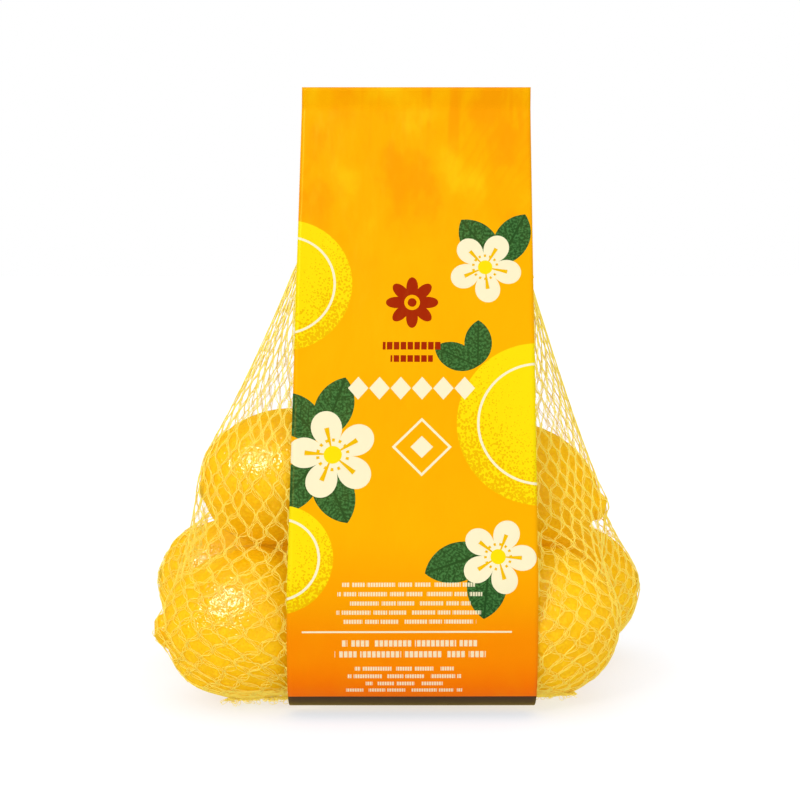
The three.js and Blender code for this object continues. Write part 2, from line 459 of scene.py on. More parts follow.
    def map_peel(self, piece: bpy.types.Object, ball: np.ndarray) -> None:
        """Gives the peel a UV map: the turn round the axis, and the way from stem to nipple.

        Args:
            piece: The lemon.
            ball: The sphere's own vertices, which say where each one lies.
        """
        corners = np.empty(len(piece.data.loops), np.int32)
        piece.data.loops.foreach_get("vertex_index", corners)
        turn = np.arctan2(ball[corners, 1], ball[corners, 0]) / (2.0 * math.pi) + 0.5
        up = 0.5 * (ball[corners, 2] + 1.0)
        layer = piece.data.uv_layers.active or piece.data.uv_layers.new(name="peel")
        layer.data.foreach_set("uv", np.stack([turn, up], axis=-1).astype(np.float32).ravel())


LEMONS = (
    Lemon("lemon_front_left", (-59.2, -29.5, 30.2), 184, -5, 72, 58.6, 11),
    Lemon("lemon_back_left", (-67.6, 29.5, 31.6), 12, -9, 70, 57.0, 12),
    Lemon("lemon_front_right", (53.6, -29.5, 30.2), 222, 4, 66, 58.6, 13),
    Lemon("lemon_back_right", (65.9, 29.5, 29.6), 170, -8, 72, 56.6, 14),
    Lemon("lemon_middle_low", (-0.1, 6.0, 28.6), 84, 0, 72, 55.0, 15),
    Lemon("lemon_upper_left", (-43.0, -19.0, 85.6), 8, 8, 71, 52.2, 16),
    Lemon("lemon_upper_right", (48.9, -0.3, 77.2), -9.5, -9, 71.3, 52.7, 17),
    Lemon("lemon_middle_high", (-12.1, 23.2, 77.9), 169, 0, 65, 50.0, 18),
)


# ---- The net ----


def clear_of_fruit(points: np.ndarray, lemons: tuple[Lemon, ...], thread: float) -> np.ndarray:
    """Lifts points that lie in the fruit, or too close to it or to the floor.

    Args:
        points: Rows of x, y, z.
        lemons: The fruit.
        thread: Radius of the filaments that the points are the middles of.

    Returns:
        The points, moved.
    """
    rounds, farthest = 3, 4.0
    for _ in range(rounds):
        for lemon in lemons:
            distance, way = lemon.gap(points)
            push = np.clip(CLEARANCE * thread - distance, 0.0, farthest)
            points = points + push[..., None] * way
    points[..., 2] = np.maximum(points[..., 2], FLOOR_CLEARANCE * thread)
    return points


def tube_piece(
    name: str, lines: np.ndarray, normal: np.ndarray, thread: float, sides: int, shown: np.ndarray
) -> bpy.types.Object:
    """Makes a piece of filaments.

    Args:
        name: The piece's name.
        lines: Middle lines, by line and by step.
        normal: A way across each line at each point.
        thread: A filament's radius.
        sides: Sides of a filament.
        shown: True for each stretch between two points that is made.

    Returns:
        The new piece.
    """
    along = unit(np.gradient(lines, axis=1))
    side = unit(np.cross(along, normal))
    out = np.cross(side, along)
    angle = 2.0 * math.pi * np.arange(sides)[:, None] / sides
    ring = np.cos(angle) * side[:, :, None] + np.sin(angle) * out[:, :, None]
    vertices = lines[:, :, None] + thread * ring
    count, steps = lines.shape[:2]
    number = np.arange(count * steps * sides).reshape(count, steps, sides)
    here, there = number[:, :-1], number[:, 1:]
    quads = np.stack([here, np.roll(here, -1, axis=2), np.roll(there, -1, axis=2), there], axis=-1)
    used, kept = np.unique(quads[shown].reshape(-1, 4), return_inverse=True)
    return mesh_piece(name, vertices.reshape(-1, 3)[used], kept.reshape(-1, 4))


@dataclass
class Membrane:
    """The surface in which the net lies, taut over the lemons between the two panels.

    Attributes:
        shape: The bag's form.
        lemons: What the net is drawn over.
        top: Height at which the gathered net ends.
        top_width: Its width there.
        emerges: Below this height the net spreads past the panels' edges.
        lift: How far the net's middle lies off the peel.
        levels: Rings of the surface, closer together near the floor.
        growth: How much closer.
        side_steps: Steps round each side.
        face_steps: Steps across each face.
        fan: Half the angle, in degrees, that a side's steps fan out over.
        upright: Share of the pull that runs up and down the bag.
        cling: Curvature, per mm, of the net where it sinks between lemons.
        loose: It sinks from the first of these distances to the fruit, and fully from the second.
        crest: It stays taut this close to its widest line, and may sink fully from the second.
        fade: Its sinking fades out between these heights.
        sweeps: Rounds of the tightening.
        rounds_per_sink: After as many rounds, the sinking is worked out again.
        eager: How far past its neighbours' mean each step is moved in a round.
        film_gap: How far the net lies behind the panels.
    """

    shape: BagShape
    lemons: tuple[Lemon, ...]
    top: float = 222.0
    top_width: float = 44.0
    emerges: float = 164.0
    lift: float = 0.55
    levels: int = 96
    growth: float = 1.35
    side_steps: int = 56
    face_steps: int = 12
    fan: float = 78.0
    upright: float = 0.95
    cling: float = 0.06
    loose: tuple[float, float] = (4.0, 14.0)
    crest: tuple[float, float] = (8.0, 22.0)
    fade: tuple[float, float] = (88.0, 118.0)
    sweeps: int = 700
    rounds_per_sink: int = 30
    eager: float = 1.6
    film_gap: float = 0.6

    def heights(self) -> np.ndarray:
        """Heights of the rings, from the floor up."""
        return self.top * (np.arange(self.levels + 1) / self.levels) ** self.growth

    def half_neck(self, z: np.ndarray) -> np.ndarray:
        """Half the net's width between the panels, less in the gathered neck.

        Args:
            z: Heights.

        Returns:
            The half width at each height.
        """
        gather = np.clip((z - self.emerges) / (self.top - self.emerges), 0.0, 1.0)
        wide = self.shape.half_width(z)
        return wide + (0.5 * self.top_width - wide) * gather

    def nearest(self, points: np.ndarray) -> np.ndarray:
        """The distance from each point to the nearest peel."""
        return np.min([lemon.gap(points)[0] for lemon in self.lemons], axis=0)

    def reach(self, start: np.ndarray, way: np.ndarray) -> np.ndarray:
        """How far out along each way the outermost peel is met.

        Args:
            start: Rows of points.
            way: Rows of level unit vectors.

        Returns:
            The distances, 0 where no lemon is met.
        """
        farthest, stride, halvings = 88.0, 1.1, 8
        found = np.zeros(start.shape[:-1])
        for d in np.arange(farthest, 0.0, -stride):
            hit = self.nearest(start + d * way) < self.lift
            found = np.where((found == 0.0) & hit, d, found)
        low, high = found, found + stride
        for _ in range(halvings):
            mid = 0.5 * (low + high)
            hit = self.nearest(start + mid[..., None] * way) < self.lift
            low, high = np.where(hit, mid, low), np.where(hit, high, mid)
        return np.where(found > 0.0, low, 0.0)

    def sink(self, points: np.ndarray, sign: int) -> np.ndarray:
        """How far each point of the slack net lies in from the line between its neighbours.

        Args:
            points: The side's points, by level and by step.
            sign: -1 for the left side, +1 for the right.

        Returns:
            The distances.
        """
        out = sign * points[..., 0]
        crest = smoothstep(out.max(axis=1, keepdims=True) - out, *self.crest)
        fruit = np.min([lemon.clearance(points) for lemon in self.lemons], axis=0)
        loose = smoothstep(fruit, *self.loose)
        low = 1.0 - smoothstep(points[..., 2], *self.fade)
        spacing = np.gradient(self.heights())[:, None]
        return 0.5 * self.cling * crest * loose * low * spacing**2

    def side(self, sign: int) -> np.ndarray:
        """Tightens one side of the net.

        Args:
            sign: -1 for the left side, +1 for the right.

        Returns:
            Points by level and by step from the front panel to the back one.
        """
        z = self.heights()[:, None]
        t = np.linspace(-1.0, 1.0, self.side_steps + 1)[None, :]
        depth = self.shape.half_depth(z) - self.film_gap
        edge = self.shape.middle_x(z) + sign * self.half_neck(z)
        angle = np.radians(self.fan) * t
        start = np.stack(np.broadcast_arrays(edge, t * depth, z), axis=-1)
        way = np.stack(np.broadcast_arrays(sign * np.cos(angle), np.sin(angle), 0.0 * z), axis=-1)
        least = self.reach(start, way)
        least[:, [0, -1]] = 0.0
        out = least.copy()
        row, step = np.indices(out.shape)
        free = (step > 0) & (step < self.side_steps) & (row < self.levels)
        colours = [free & ((row + step) % 2 == parity) for parity in (0, 1)]
        weight = np.where(row == 0, 0.0, self.upright)
        rise = np.ones_like(z)
        rise[1:-1] = (z[1:-1] - z[:-2]) / (z[2:] - z[:-2])
        for sweep in range(self.sweeps):
            if sweep % self.rounds_per_sink == 0:
                sink = self.sink(start + out[..., None] * way, sign)
            for mask in colours:
                points = start + out[..., None] * way
                before, after = np.roll(points, 1, axis=1), np.roll(points, -1, axis=1)
                chord, back = after - before, before - start
                spread = way[..., 0] * chord[..., 1] - way[..., 1] * chord[..., 0]
                spread = np.where(np.abs(spread) < 1e-6, 1e-6, spread)
                level = (back[..., 0] * chord[..., 1] - back[..., 1] * chord[..., 0]) / spread
                below, above = np.roll(points, 1, axis=0), np.roll(points, -1, axis=0)
                taut = below + (above - below) * rise[..., None]
                upright = np.sum((taut - start) * way, axis=-1)
                pull = level + (upright - level) * weight - sink
                pull = out + self.eager * (pull - out)
                out = np.where(mask, np.maximum(np.maximum(pull, least), 0.0), out)
        return start + out[..., None] * way

    def rings(self) -> np.ndarray:
        """Closed rings round the whole bag, from the middle of the front round by the right.

        Returns:
            Points by level and by step. A ring's last point is its first.
        """
        left, right = self.side(-1), self.side(1)
        share = np.linspace(0.0, 1.0, self.face_steps + 1)[None, 1:-1, None]
        front = left[:, :1] + (right[:, :1] - left[:, :1]) * share
        back = right[:, -1:] + (left[:, -1:] - right[:, -1:]) * share
        middle = self.face_steps // 2 - 1
        return np.concatenate(
            [front[:, middle:], right, back, left[:, ::-1], front[:, : middle + 1]], axis=1
        )

    def corners(self) -> np.ndarray:
        """Finds the panels' edges in a ring.

        Returns:
            The numbers of its first point, the four at those edges and its last.
        """
        half = self.face_steps - self.face_steps // 2
        lengths = (half, self.side_steps, self.face_steps, self.side_steps, self.face_steps // 2)
        return np.concatenate([[0], np.cumsum(lengths)])


@dataclass(frozen=True)
class Seam:
    """The flat seam that closes the net below, under the front of the bag.

    Attributes:
        left: Its left end.
        middle: Its middle, behind the front panel's lower edge.
        right: Its right end.
    """

    left: Point = (-66.0, -43.5, 4.0)
    middle: Point = (5.0, -41.0, 5.0)
    right: Point = (67.0, -42.5, 6.0)

    def at(self, across: np.ndarray) -> np.ndarray:
        """Points on the seam.

        Args:
            across: Places along it, -1 at its left end and 1 at its right one.

        Returns:
            Rows of x, y, z.
        """
        ends = np.array([self.left, self.middle, self.right])
        return along_line(across, np.array([-1.0, 0.0, 1.0]), ends)


@dataclass
class KnittedNet:
    """The knitted net: strands of fine filaments that join their neighbours by turns.

    Attributes:
        membrane: The surface that it lies in.
        seam: What closes it below.
        face_wales: Columns of the knit behind each panel.
        side_wales: Columns to each side of the bag.
        course: Height of a row where the columns lie close together.
        give: How much lower a row gets, for each mm that the columns are drawn apart.
        joined: Share of a row that is joint.
        knot: Half the distance between two strands where they are joined.
        narrowest: Columns count as at least this much wider than two joined strands.
        spread: Half the width, at most, that a strand's filaments weave over.
        fill: The same as a share of the distance between columns, where they lie closer.
        closest: The least distance between columns that this share is taken of.
        weave: Each filament's swing, as a share of that half width, and its half turns to a row.
        in_step: Phase of the filaments that make one half turn to a row.
        unevenness: The swing's mean, its change and how fast it changes, in radians to a row.
        drift: How far the weaving drifts, in radians, and how fast that changes.
        relief: How far the filaments swing in and out, as a share of their swing aside.
        thread: A filament's radius.
        samples: Points to a row along a filament.
        sides: Sides of a filament.
        lowest: Height that the columns keep above the floor.
        turn_height: Height at which the front's columns turn in to the seam.
        front: Those columns lie within these shares of a turn of the front's middle.
        fold: How much lower the back's columns meet the seam.
        under_steps: Steps from the underside's rim to the seam.
        stray: How far the cells wander from an even knit, in columns and in rows.
        waves: Each pair of waves of that wandering: their length, in columns, and their share.
        overlap: How far the net reaches in behind a panel's edge.
        film_reach: What lies farther than this from the film counts as not behind it.
        open_below: Below this height nothing of the net is left out.
        names: The pieces' names, from the front round to the right.
        seed: Settles how they wander.
    """

    membrane: Membrane
    seam: Seam = Seam()
    face_wales: int = 16
    side_wales: int = 42
    course: float = 6.6
    give: float = 0.46
    joined: float = 0.22
    knot: float = 0.30
    narrowest: float = 0.6
    spread: float = 1.4
    fill: float = 0.26
    weave: tuple[tuple[float, float], ...] = (
        (1.0, 1.0), (-1.0, 1.0), (0.90, 1.6), (-0.75, 1.3), (0.45, 2.4)
    )
    closest: float = 0.35
    in_step: float = 0.9
    unevenness: tuple[float, float, float] = (0.86, 0.22, 1.7)
    drift: tuple[float, float] = (0.6, 0.9)
    relief: float = 0.20
    thread: float = 0.085
    samples: int = 5
    sides: int = 3
    lowest: float = 0.5
    turn_height: float = 9.5
    front: tuple[float, float] = (0.17, 0.27)
    fold: float = 0.6
    under_steps: int = 14
    stray: tuple[float, float] = (0.26, 0.24)
    waves: tuple[tuple[float, float], ...] = ((10.0, 0.40), (6.0, 0.30), (3.9, 0.26))
    overlap: float = 6.5
    film_reach: float = 2.5
    open_below: float = 26.0
    names: tuple[str, ...] = (
        "net_front", "net_front_right", "net_right", "net_back_right",
        "net_back", "net_back_left", "net_left", "net_front_left",
    )
    seed: int = 5
    wales: int = field(init=False)

    def __post_init__(self) -> None:
        """Counts the columns round the bag."""
        self.wales = 2 * (self.face_wales + self.side_wales)

    def columns(self) -> np.ndarray:
        """The net's columns, spaced evenly between the panels' edges and drawn to the seam below.

        Returns:
            Points by column and by step, from the top down.
        """
        rings = self.membrane.rings()[::-1]
        spaced = np.empty((len(rings), self.wales, 3))
        half_face = self.face_wales // 2
        counts = (half_face, self.side_wales, self.face_wales, self.side_wales, half_face)
        at_corners = np.concatenate([[0], np.cumsum(counts)])
        for k, ring in enumerate(rings):
            lengths = np.linalg.norm(np.diff(ring, axis=0), axis=1)
            along = np.concatenate([[0.0], np.cumsum(lengths)])
            wanted = np.interp(np.arange(self.wales), at_corners, along[self.membrane.corners()])
            spaced[k] = along_line(wanted, along, ring)
        spaced[..., 2] = np.maximum(spaced[..., 2], self.lowest)
        turn = (np.arange(self.wales) / self.wales + 0.5) % 1.0 - 0.5
        seam = self.seam.at(1.0 - 4.0 * np.abs((turn + 0.25) % 1.0 - 0.5))
        seam[np.abs(turn) > 0.25, 2] -= self.fold
        heights = spaced[:, 0, 2]
        first = int(np.argmax(heights < self.turn_height))
        tucked = spaced.copy()
        share = (1.0 - heights[first:] / heights[first])[:, None, None]
        tucked[first:] = spaced[first] + (seam - spaced[first]) * share
        front = (1.0 - smoothstep(np.abs(turn), *self.front))[None, :, None]
        spaced += (tucked - spaced) * front
        rim = spaced[-1]
        share = np.linspace(0.0, 1.0, self.under_steps + 1)[1:, None, None]
        return np.concatenate([spaced, rim + (seam - rim) * share]).transpose(1, 0, 2)

    def knit_surface(self) -> tuple[np.ndarray, np.ndarray]:
        """The net's surface by column and by row of knit.

        Returns:
            Points by column and by fine step down the rows, and each column's last row.
        """
        columns = self.columns()
        spacing = np.linalg.norm(np.roll(columns, -1, axis=0) - columns, axis=-1)
        beside = spacing[self.face_wales // 2 :][: self.side_wales].mean(axis=0)
        pitch = self.course - self.give * beside
        steps = np.linalg.norm(np.diff(columns, axis=1), axis=-1) / (0.5 * (pitch[1:] + pitch[:-1]))
        rows = np.concatenate([np.zeros((self.wales, 1)), np.cumsum(steps, axis=1)], axis=1)
        count = int(rows[:, -1].max()) + 1
        fine = np.arange(count * self.samples + 1) / self.samples
        surface = np.stack([along_line(fine, *pair) for pair in zip(rows, columns)])
        return surface, rows[:, -1]

    def wander(self, column: np.ndarray, row: np.ndarray) -> tuple[np.ndarray, np.ndarray]:
        """How far the knit wanders at a place, in columns and in rows.

        Args:
            column: Places across the knit.
            row: Places down it.

        Returns:
            The two shifts.
        """
        draw = np.random.default_rng(self.seed)
        shifts = []
        for amount in self.stray:
            total = np.zeros(np.broadcast(column, row).shape)
            for wave, share in (pair for pair in self.waves for _ in range(2)):
                whole_turns = max(1, round(self.wales / (wave * draw.uniform(0.8, 1.25))))
                across = whole_turns * 2.0 * math.pi / self.wales
                down = draw.choice([-1.0, 1.0]) * 2.0 * math.pi
                down /= wave * draw.uniform(0.8, 1.25)
                phase = draw.uniform(0.0, 2.0 * math.pi)
                total += share * np.cos(across * column + down * row + phase)
            shifts.append(amount * total)
        return shifts[0], shifts[1]

    def read(self, grid: np.ndarray, column: np.ndarray, row: np.ndarray) -> np.ndarray:
        """Reads a grid of the knit between its columns and steps.

        Args:
            grid: Values by column and by fine step.
            column: Places across, which close round the bag.
            row: Places down, in rows.

        Returns:
            The values there.
        """
        fine = np.clip(row * self.samples, 0.0, grid.shape[1] - 1.001)
        i, j = np.floor(column).astype(int), np.floor(fine).astype(int)
        a, b = (column - i)[..., None], (fine - j)[..., None]
        i0, i1 = i % self.wales, (i + 1) % self.wales
        upper = grid[i0, j] * (1.0 - a) + grid[i1, j] * a
        lower = grid[i0, j + 1] * (1.0 - a) + grid[i1, j + 1] * a
        return upper * (1.0 - b) + lower * b

    def lines(self) -> tuple[np.ndarray, np.ndarray]:
        """Every filament's middle line.

        Returns:
            Points by column, filament and step, and the way out of the net at each.
        """
        surface, last = self.knit_surface()
        across = np.roll(surface, -1, axis=0) - np.roll(surface, 1, axis=0)
        down = np.gradient(surface, axis=1)
        out = unit(np.cross(down, across))
        width = 0.5 * np.linalg.norm(across, axis=-1, keepdims=True)
        wale = np.arange(self.wales)[:, None]
        row = np.arange(surface.shape[1] - 1)[None, :] / self.samples
        number = np.floor(row)
        hand = np.where((wale + number) % 2 == 0, 1.0, -1.0)
        apart = self.read(width, wale + 0.0 * row, row + 0.0 * wale)[..., 0]
        apart = 0.5 - self.knot / np.maximum(apart, 2.0 * self.knot + self.narrowest)
        column = wale + apart * hand * (1.0 - 2.0 * smoothstep(row - number, self.joined, 1.0))
        shift_column, shift_row = self.wander(column, row)
        column = column + shift_column
        row = np.minimum(row + shift_row, last[:, None])
        middle = self.read(surface, column, row)
        normal = unit(self.read(out, column, row))
        spacing = np.maximum(self.read(width, column, row), self.closest)
        sideways = unit(np.cross(normal, np.gradient(middle, axis=1)))
        draw = np.random.default_rng(self.seed + 1)
        start = draw.uniform(0.0, 2.0 * math.pi, (2 + len(self.weave), self.wales))[..., None]
        mean, change, pace = self.unevenness
        swing = np.minimum(self.spread, self.fill * spacing[..., 0])
        swing = swing * (mean + change * np.cos(pace * row + start[0]))
        change, pace = self.drift
        turning = math.pi * (row - 0.5 * self.joined) + change * np.cos(pace * row + start[1])
        woven = []
        for (share, rate), phase in zip(self.weave, start[2:]):
            offset = share * np.sin(rate * turning + (phase if rate != 1.0 else self.in_step))
            rise = self.relief * share * np.cos(rate * turning)
            aside = (swing * offset)[..., None] * sideways
            woven.append(middle + aside + (swing * rise)[..., None] * normal)
        points = np.stack(woven, axis=1)
        normal = np.repeat(normal[:, None], len(woven), axis=1)
        return clear_of_fruit(points, self.membrane.lemons, self.thread), normal

    def hidden(self, points: np.ndarray) -> np.ndarray:
        """Finds what lies so far behind a panel that nothing shows of it.

        Args:
            points: Rows of x, y, z.

        Returns:
            True for each such point.
        """
        shape = self.membrane.shape
        x, y, z = points[..., 0], points[..., 1], points[..., 2]
        behind = np.abs(x - shape.middle_x(z)) < shape.half_width(z) - self.overlap
        at_film = np.abs(y) > shape.half_depth(z) - self.film_reach
        return behind & at_film & (z > self.open_below)

    def build(self) -> list[bpy.types.Object]:
        """Makes the net, as one piece behind each panel and three to each side.

        Returns:
            The pieces.
        """
        points, normal = self.lines()
        third = self.side_wales // 3
        counts = (self.face_wales, third, third, third) * 2
        start = -(self.face_wales // 2)
        pieces = []
        for name, count in zip(self.names, counts):
            chosen = np.arange(start, start + count) % self.wales
            start += count
            lines = points[chosen].reshape(-1, *points.shape[2:])
            ways = normal[chosen].reshape(-1, *points.shape[2:])
            hidden = self.hidden(lines)
            length = np.linalg.norm(np.diff(lines, axis=1), axis=-1)
            shown = ~(hidden[:, :-1] & hidden[:, 1:]) & (length > 1e-3)
            pieces.append(tube_piece(name, lines, ways, self.thread, self.sides, shown))
        return pieces


@dataclass
class Frays:
    """Loose loops of filament where the seam's two ends show.

    Attributes:
        seam: The seam.
        lemons: What they must stay clear of.
        spans: The stretches of the seam that are frayed, from -1 at its left end to 1.
        count: Loops to a stretch.
        reach: The loops' shortest and longest reach.
        thread: A filament's radius.
        steps: Points to a loop.
        sides: Sides of a filament.
        seed: Settles where they point.
    """

    seam: Seam
    lemons: tuple[Lemon, ...]
    spans: tuple[tuple[float, float], ...] = ((-1.0, -0.66), (0.66, 1.0))
    count: int = 46
    reach: tuple[float, float] = (1.5, 3.8)
    thread: float = 0.11
    steps: int = 18
    sides: int = 3
    seed: int = 9

    def build(self) -> list[bpy.types.Object]:
        """Makes the loops, as a piece for each stretch.

        Returns:
            The pieces.
        """
        draw = np.random.default_rng(self.seed)
        pieces = []
        for (low, high), name in zip(self.spans, ("frays_left", "frays_right")):
            root = self.seam.at(draw.uniform(low, high, self.count))[:, None]
            heading = draw.uniform(-1.2, 1.2, self.count)
            rise = draw.uniform(-0.5, 0.4, self.count)
            way = np.stack([np.sin(heading), -np.cos(heading), rise], axis=-1)[:, None]
            tilt = draw.uniform(-0.5, 0.5, self.count)
            aside = np.stack([np.cos(heading), np.sin(heading), tilt], axis=-1)[:, None]
            reach = draw.uniform(*self.reach, self.count)[:, None, None]
            width = reach * draw.uniform(0.18, 0.42, self.count)[:, None, None]
            t = np.linspace(0.0, 1.0, self.steps)[None, :, None]
            loop = root + reach * np.sin(math.pi * t) * way
            loop = loop + width * np.sin(2.0 * math.pi * t) * aside
            loop = loop + 0.5 * np.sin(5.0 * t + reach) * np.array([0.3, 0.0, 0.6])
            normal = np.broadcast_to(np.cross(way, aside), loop.shape)
            loop = clear_of_fruit(loop, self.lemons, self.thread)
            shown = np.ones((self.count, self.steps - 1), bool)
            pieces.append(tube_piece(name, loop, normal, self.thread, self.sides, shown))
        return pieces


# ---- The films ----


class Facing(Enum):
    """Which way a panel faces."""

    FRONT = -1
    BACK = 1


@dataclass
class FilmPanel:
    """One printed film, from the fold under the fruit up to the header.

    Attributes:
        shape: The bag's form.
        facing: Which way it faces.
        stand: How far it stands off the bag's own profile.
        thickness: The film's thickness.
        columns: Faces across.
        rows: Faces up.
        tail_end: Height at which the film's tail, turned in under the fruit, ends.
        crinkle: Depth of the header's soft crinkles.
        crinkles: How many waves they are made of.
        header: Between these heights the film grows as crinkled as the header.
        swell: Depth of the long waves over the fruit.
        curl: How far the side edges curl.
        flat_band: Below the top edge, it grows smooth over this height.
        least: It stands off the profile by this much at least.
        seed: Settles the crinkles.
    """

    shape: BagShape
    facing: Facing
    stand: float = 0.45
    thickness: float = 0.12
    columns: int = 56
    rows: int = 156
    tail_end: float = 2.4
    crinkle: float = 0.42
    crinkles: int = 9
    header: tuple[float, float] = (120.0, 205.0)
    swell: float = 0.25
    curl: float = 0.5
    flat_band: float = 14.0
    least: float = 0.18
    seed: int = 3

    def heights(self) -> np.ndarray:
        """Heights of the film's rows, evenly spaced along the film.

        Returns:
            The heights, from its lower edge up.
        """
        z = np.linspace(self.tail_end, self.shape.height, 2000)
        depth = self.shape.half_depth(z)
        along = np.concatenate([[0.0], np.cumsum(np.hypot(np.diff(z), np.diff(depth)))])
        return np.interp(np.linspace(0.0, along[-1], self.rows + 1), along, z)

    def waves(self, u: np.ndarray, z: np.ndarray) -> np.ndarray:
        """How far the film stands off its smooth form.

        Args:
            u: Places across, from -1 to 1.
            z: Heights.

        Returns:
            The offsets, outwards.
        """
        draw = np.random.default_rng(self.seed + self.facing.value)
        header = smoothstep(z, *self.header)
        total = np.zeros(np.broadcast(u, z).shape)
        for _ in range(self.crinkles):
            across, up = draw.uniform(2.0, 9.0), draw.uniform(0.015, 0.06)
            total += np.cos(across * u + up * z + draw.uniform(0.0, 6.3)) / self.crinkles**0.5
        over_fruit = self.swell * np.cos(2.3 * u + 0.05 * z) * (1.0 - header)
        edge = self.curl * np.abs(u) ** 6 * np.cos(0.045 * z + u)
        return self.crinkle * total * (0.25 + 0.75 * header) + over_fruit + edge

    def build(self) -> bpy.types.Object:
        """Models the film from a plane, laid to the bag's profile and given its thickness.

        Returns:
            The finished piece. Its UV map runs across the film and up it.
        """
        deselect()
        bpy.ops.mesh.primitive_grid_add(x_subdivisions=self.columns, y_subdivisions=self.rows)
        piece = bpy.context.object
        piece.name = piece.data.name = f"film_{self.facing.name.lower()}"
        flat = vertex_array(piece)
        z = np.interp(flat[:, 1], np.linspace(-1.0, 1.0, self.rows + 1), self.heights())
        sign = self.facing.value
        u = -sign * flat[:, 0]
        flat_top = smoothstep(self.shape.height - z, 0.0, self.flat_band)
        offset = np.maximum(self.stand + self.waves(u, z) * flat_top, self.least)
        x = self.shape.middle_x(z) + u * self.shape.half_width(z)
        y = sign * (self.shape.half_depth(z) + offset)
        move_vertices(piece, np.stack([x, y, z], axis=-1))
        thickness = self.thickness * MM
        apply_modifier(piece, "SOLIDIFY", thickness=thickness, offset=0.0, use_even_offset=True)
        piece.data.shade_smooth()
        return piece


# ---- Shader node groups ----

# What the groups of a surface put out
SKIN = {"Colour": "NodeSocketColor", "Normal": "NodeSocketVector"}


class Field:
    """A number inside a shader node group. Python's operators add the group's Math nodes."""

    def __init__(self, tree: bpy.types.NodeTree, socket: bpy.types.NodeSocket) -> None:
        """Wraps an output socket of the group's own tree."""
        self.tree = tree
        self.socket = socket

    def math(self, operation: str, *others: "Field | float") -> "Field":
        """Adds a Math node.

        Args:
            operation: Blender's name of the operation.
            *others: What it works with, beside this number.

        Returns:
            The node's result.
        """
        node = self.tree.nodes.new("ShaderNodeMath")
        node.operation = operation
        for slot, item in zip(node.inputs, (self, *others)):
            if isinstance(item, Field):
                self.tree.links.new(item.socket, slot)
            else:
                slot.default_value = item
        return Field(self.tree, node.outputs[0])

    def __add__(self, other: "Field | float") -> "Field":
        """Adds."""
        return self.math("ADD", other)

    def __sub__(self, other: "Field | float") -> "Field":
        """Subtracts."""
        return self.math("SUBTRACT", other)

    def __mul__(self, other: "Field | float") -> "Field":
        """Multiplies."""
        return self.math("MULTIPLY", other)

    def __truediv__(self, other: "Field | float") -> "Field":
        """Divides."""
        return self.math("DIVIDE", other)

    def __abs__(self) -> "Field":
        """Drops the sign."""
        return self.math("ABSOLUTE")

    def below(self, other: "Field | float") -> "Field":
        """1 where this number is less than the other, 0 elsewhere."""
        return self.math("LESS_THAN", other)

    def above(self, other: "Field | float") -> "Field":
        """1 where this number is more than the other, 0 elsewhere."""
        return self.math("GREATER_THAN", other)

    def ease(self, low: float, high: float) -> "Field":
        """Eases from 0 to 1.

        Args:
            low: Where it leaves 0.
            high: Where it reaches 1.

        Returns:
            The eased share.
        """
        node = self.tree.nodes.new("ShaderNodeMapRange")
        node.interpolation_type = "SMOOTHSTEP"
        node.inputs["From Min"].default_value = low
        node.inputs["From Max"].default_value = high
        self.tree.links.new(self.socket, node.inputs["Value"])
        return Field(self.tree, node.outputs["Result"])

    def hypot(self, other: "Field") -> "Field":
        """The length of the two numbers as sides of a right angle."""
        return (self * self + other * other).math("SQRT")


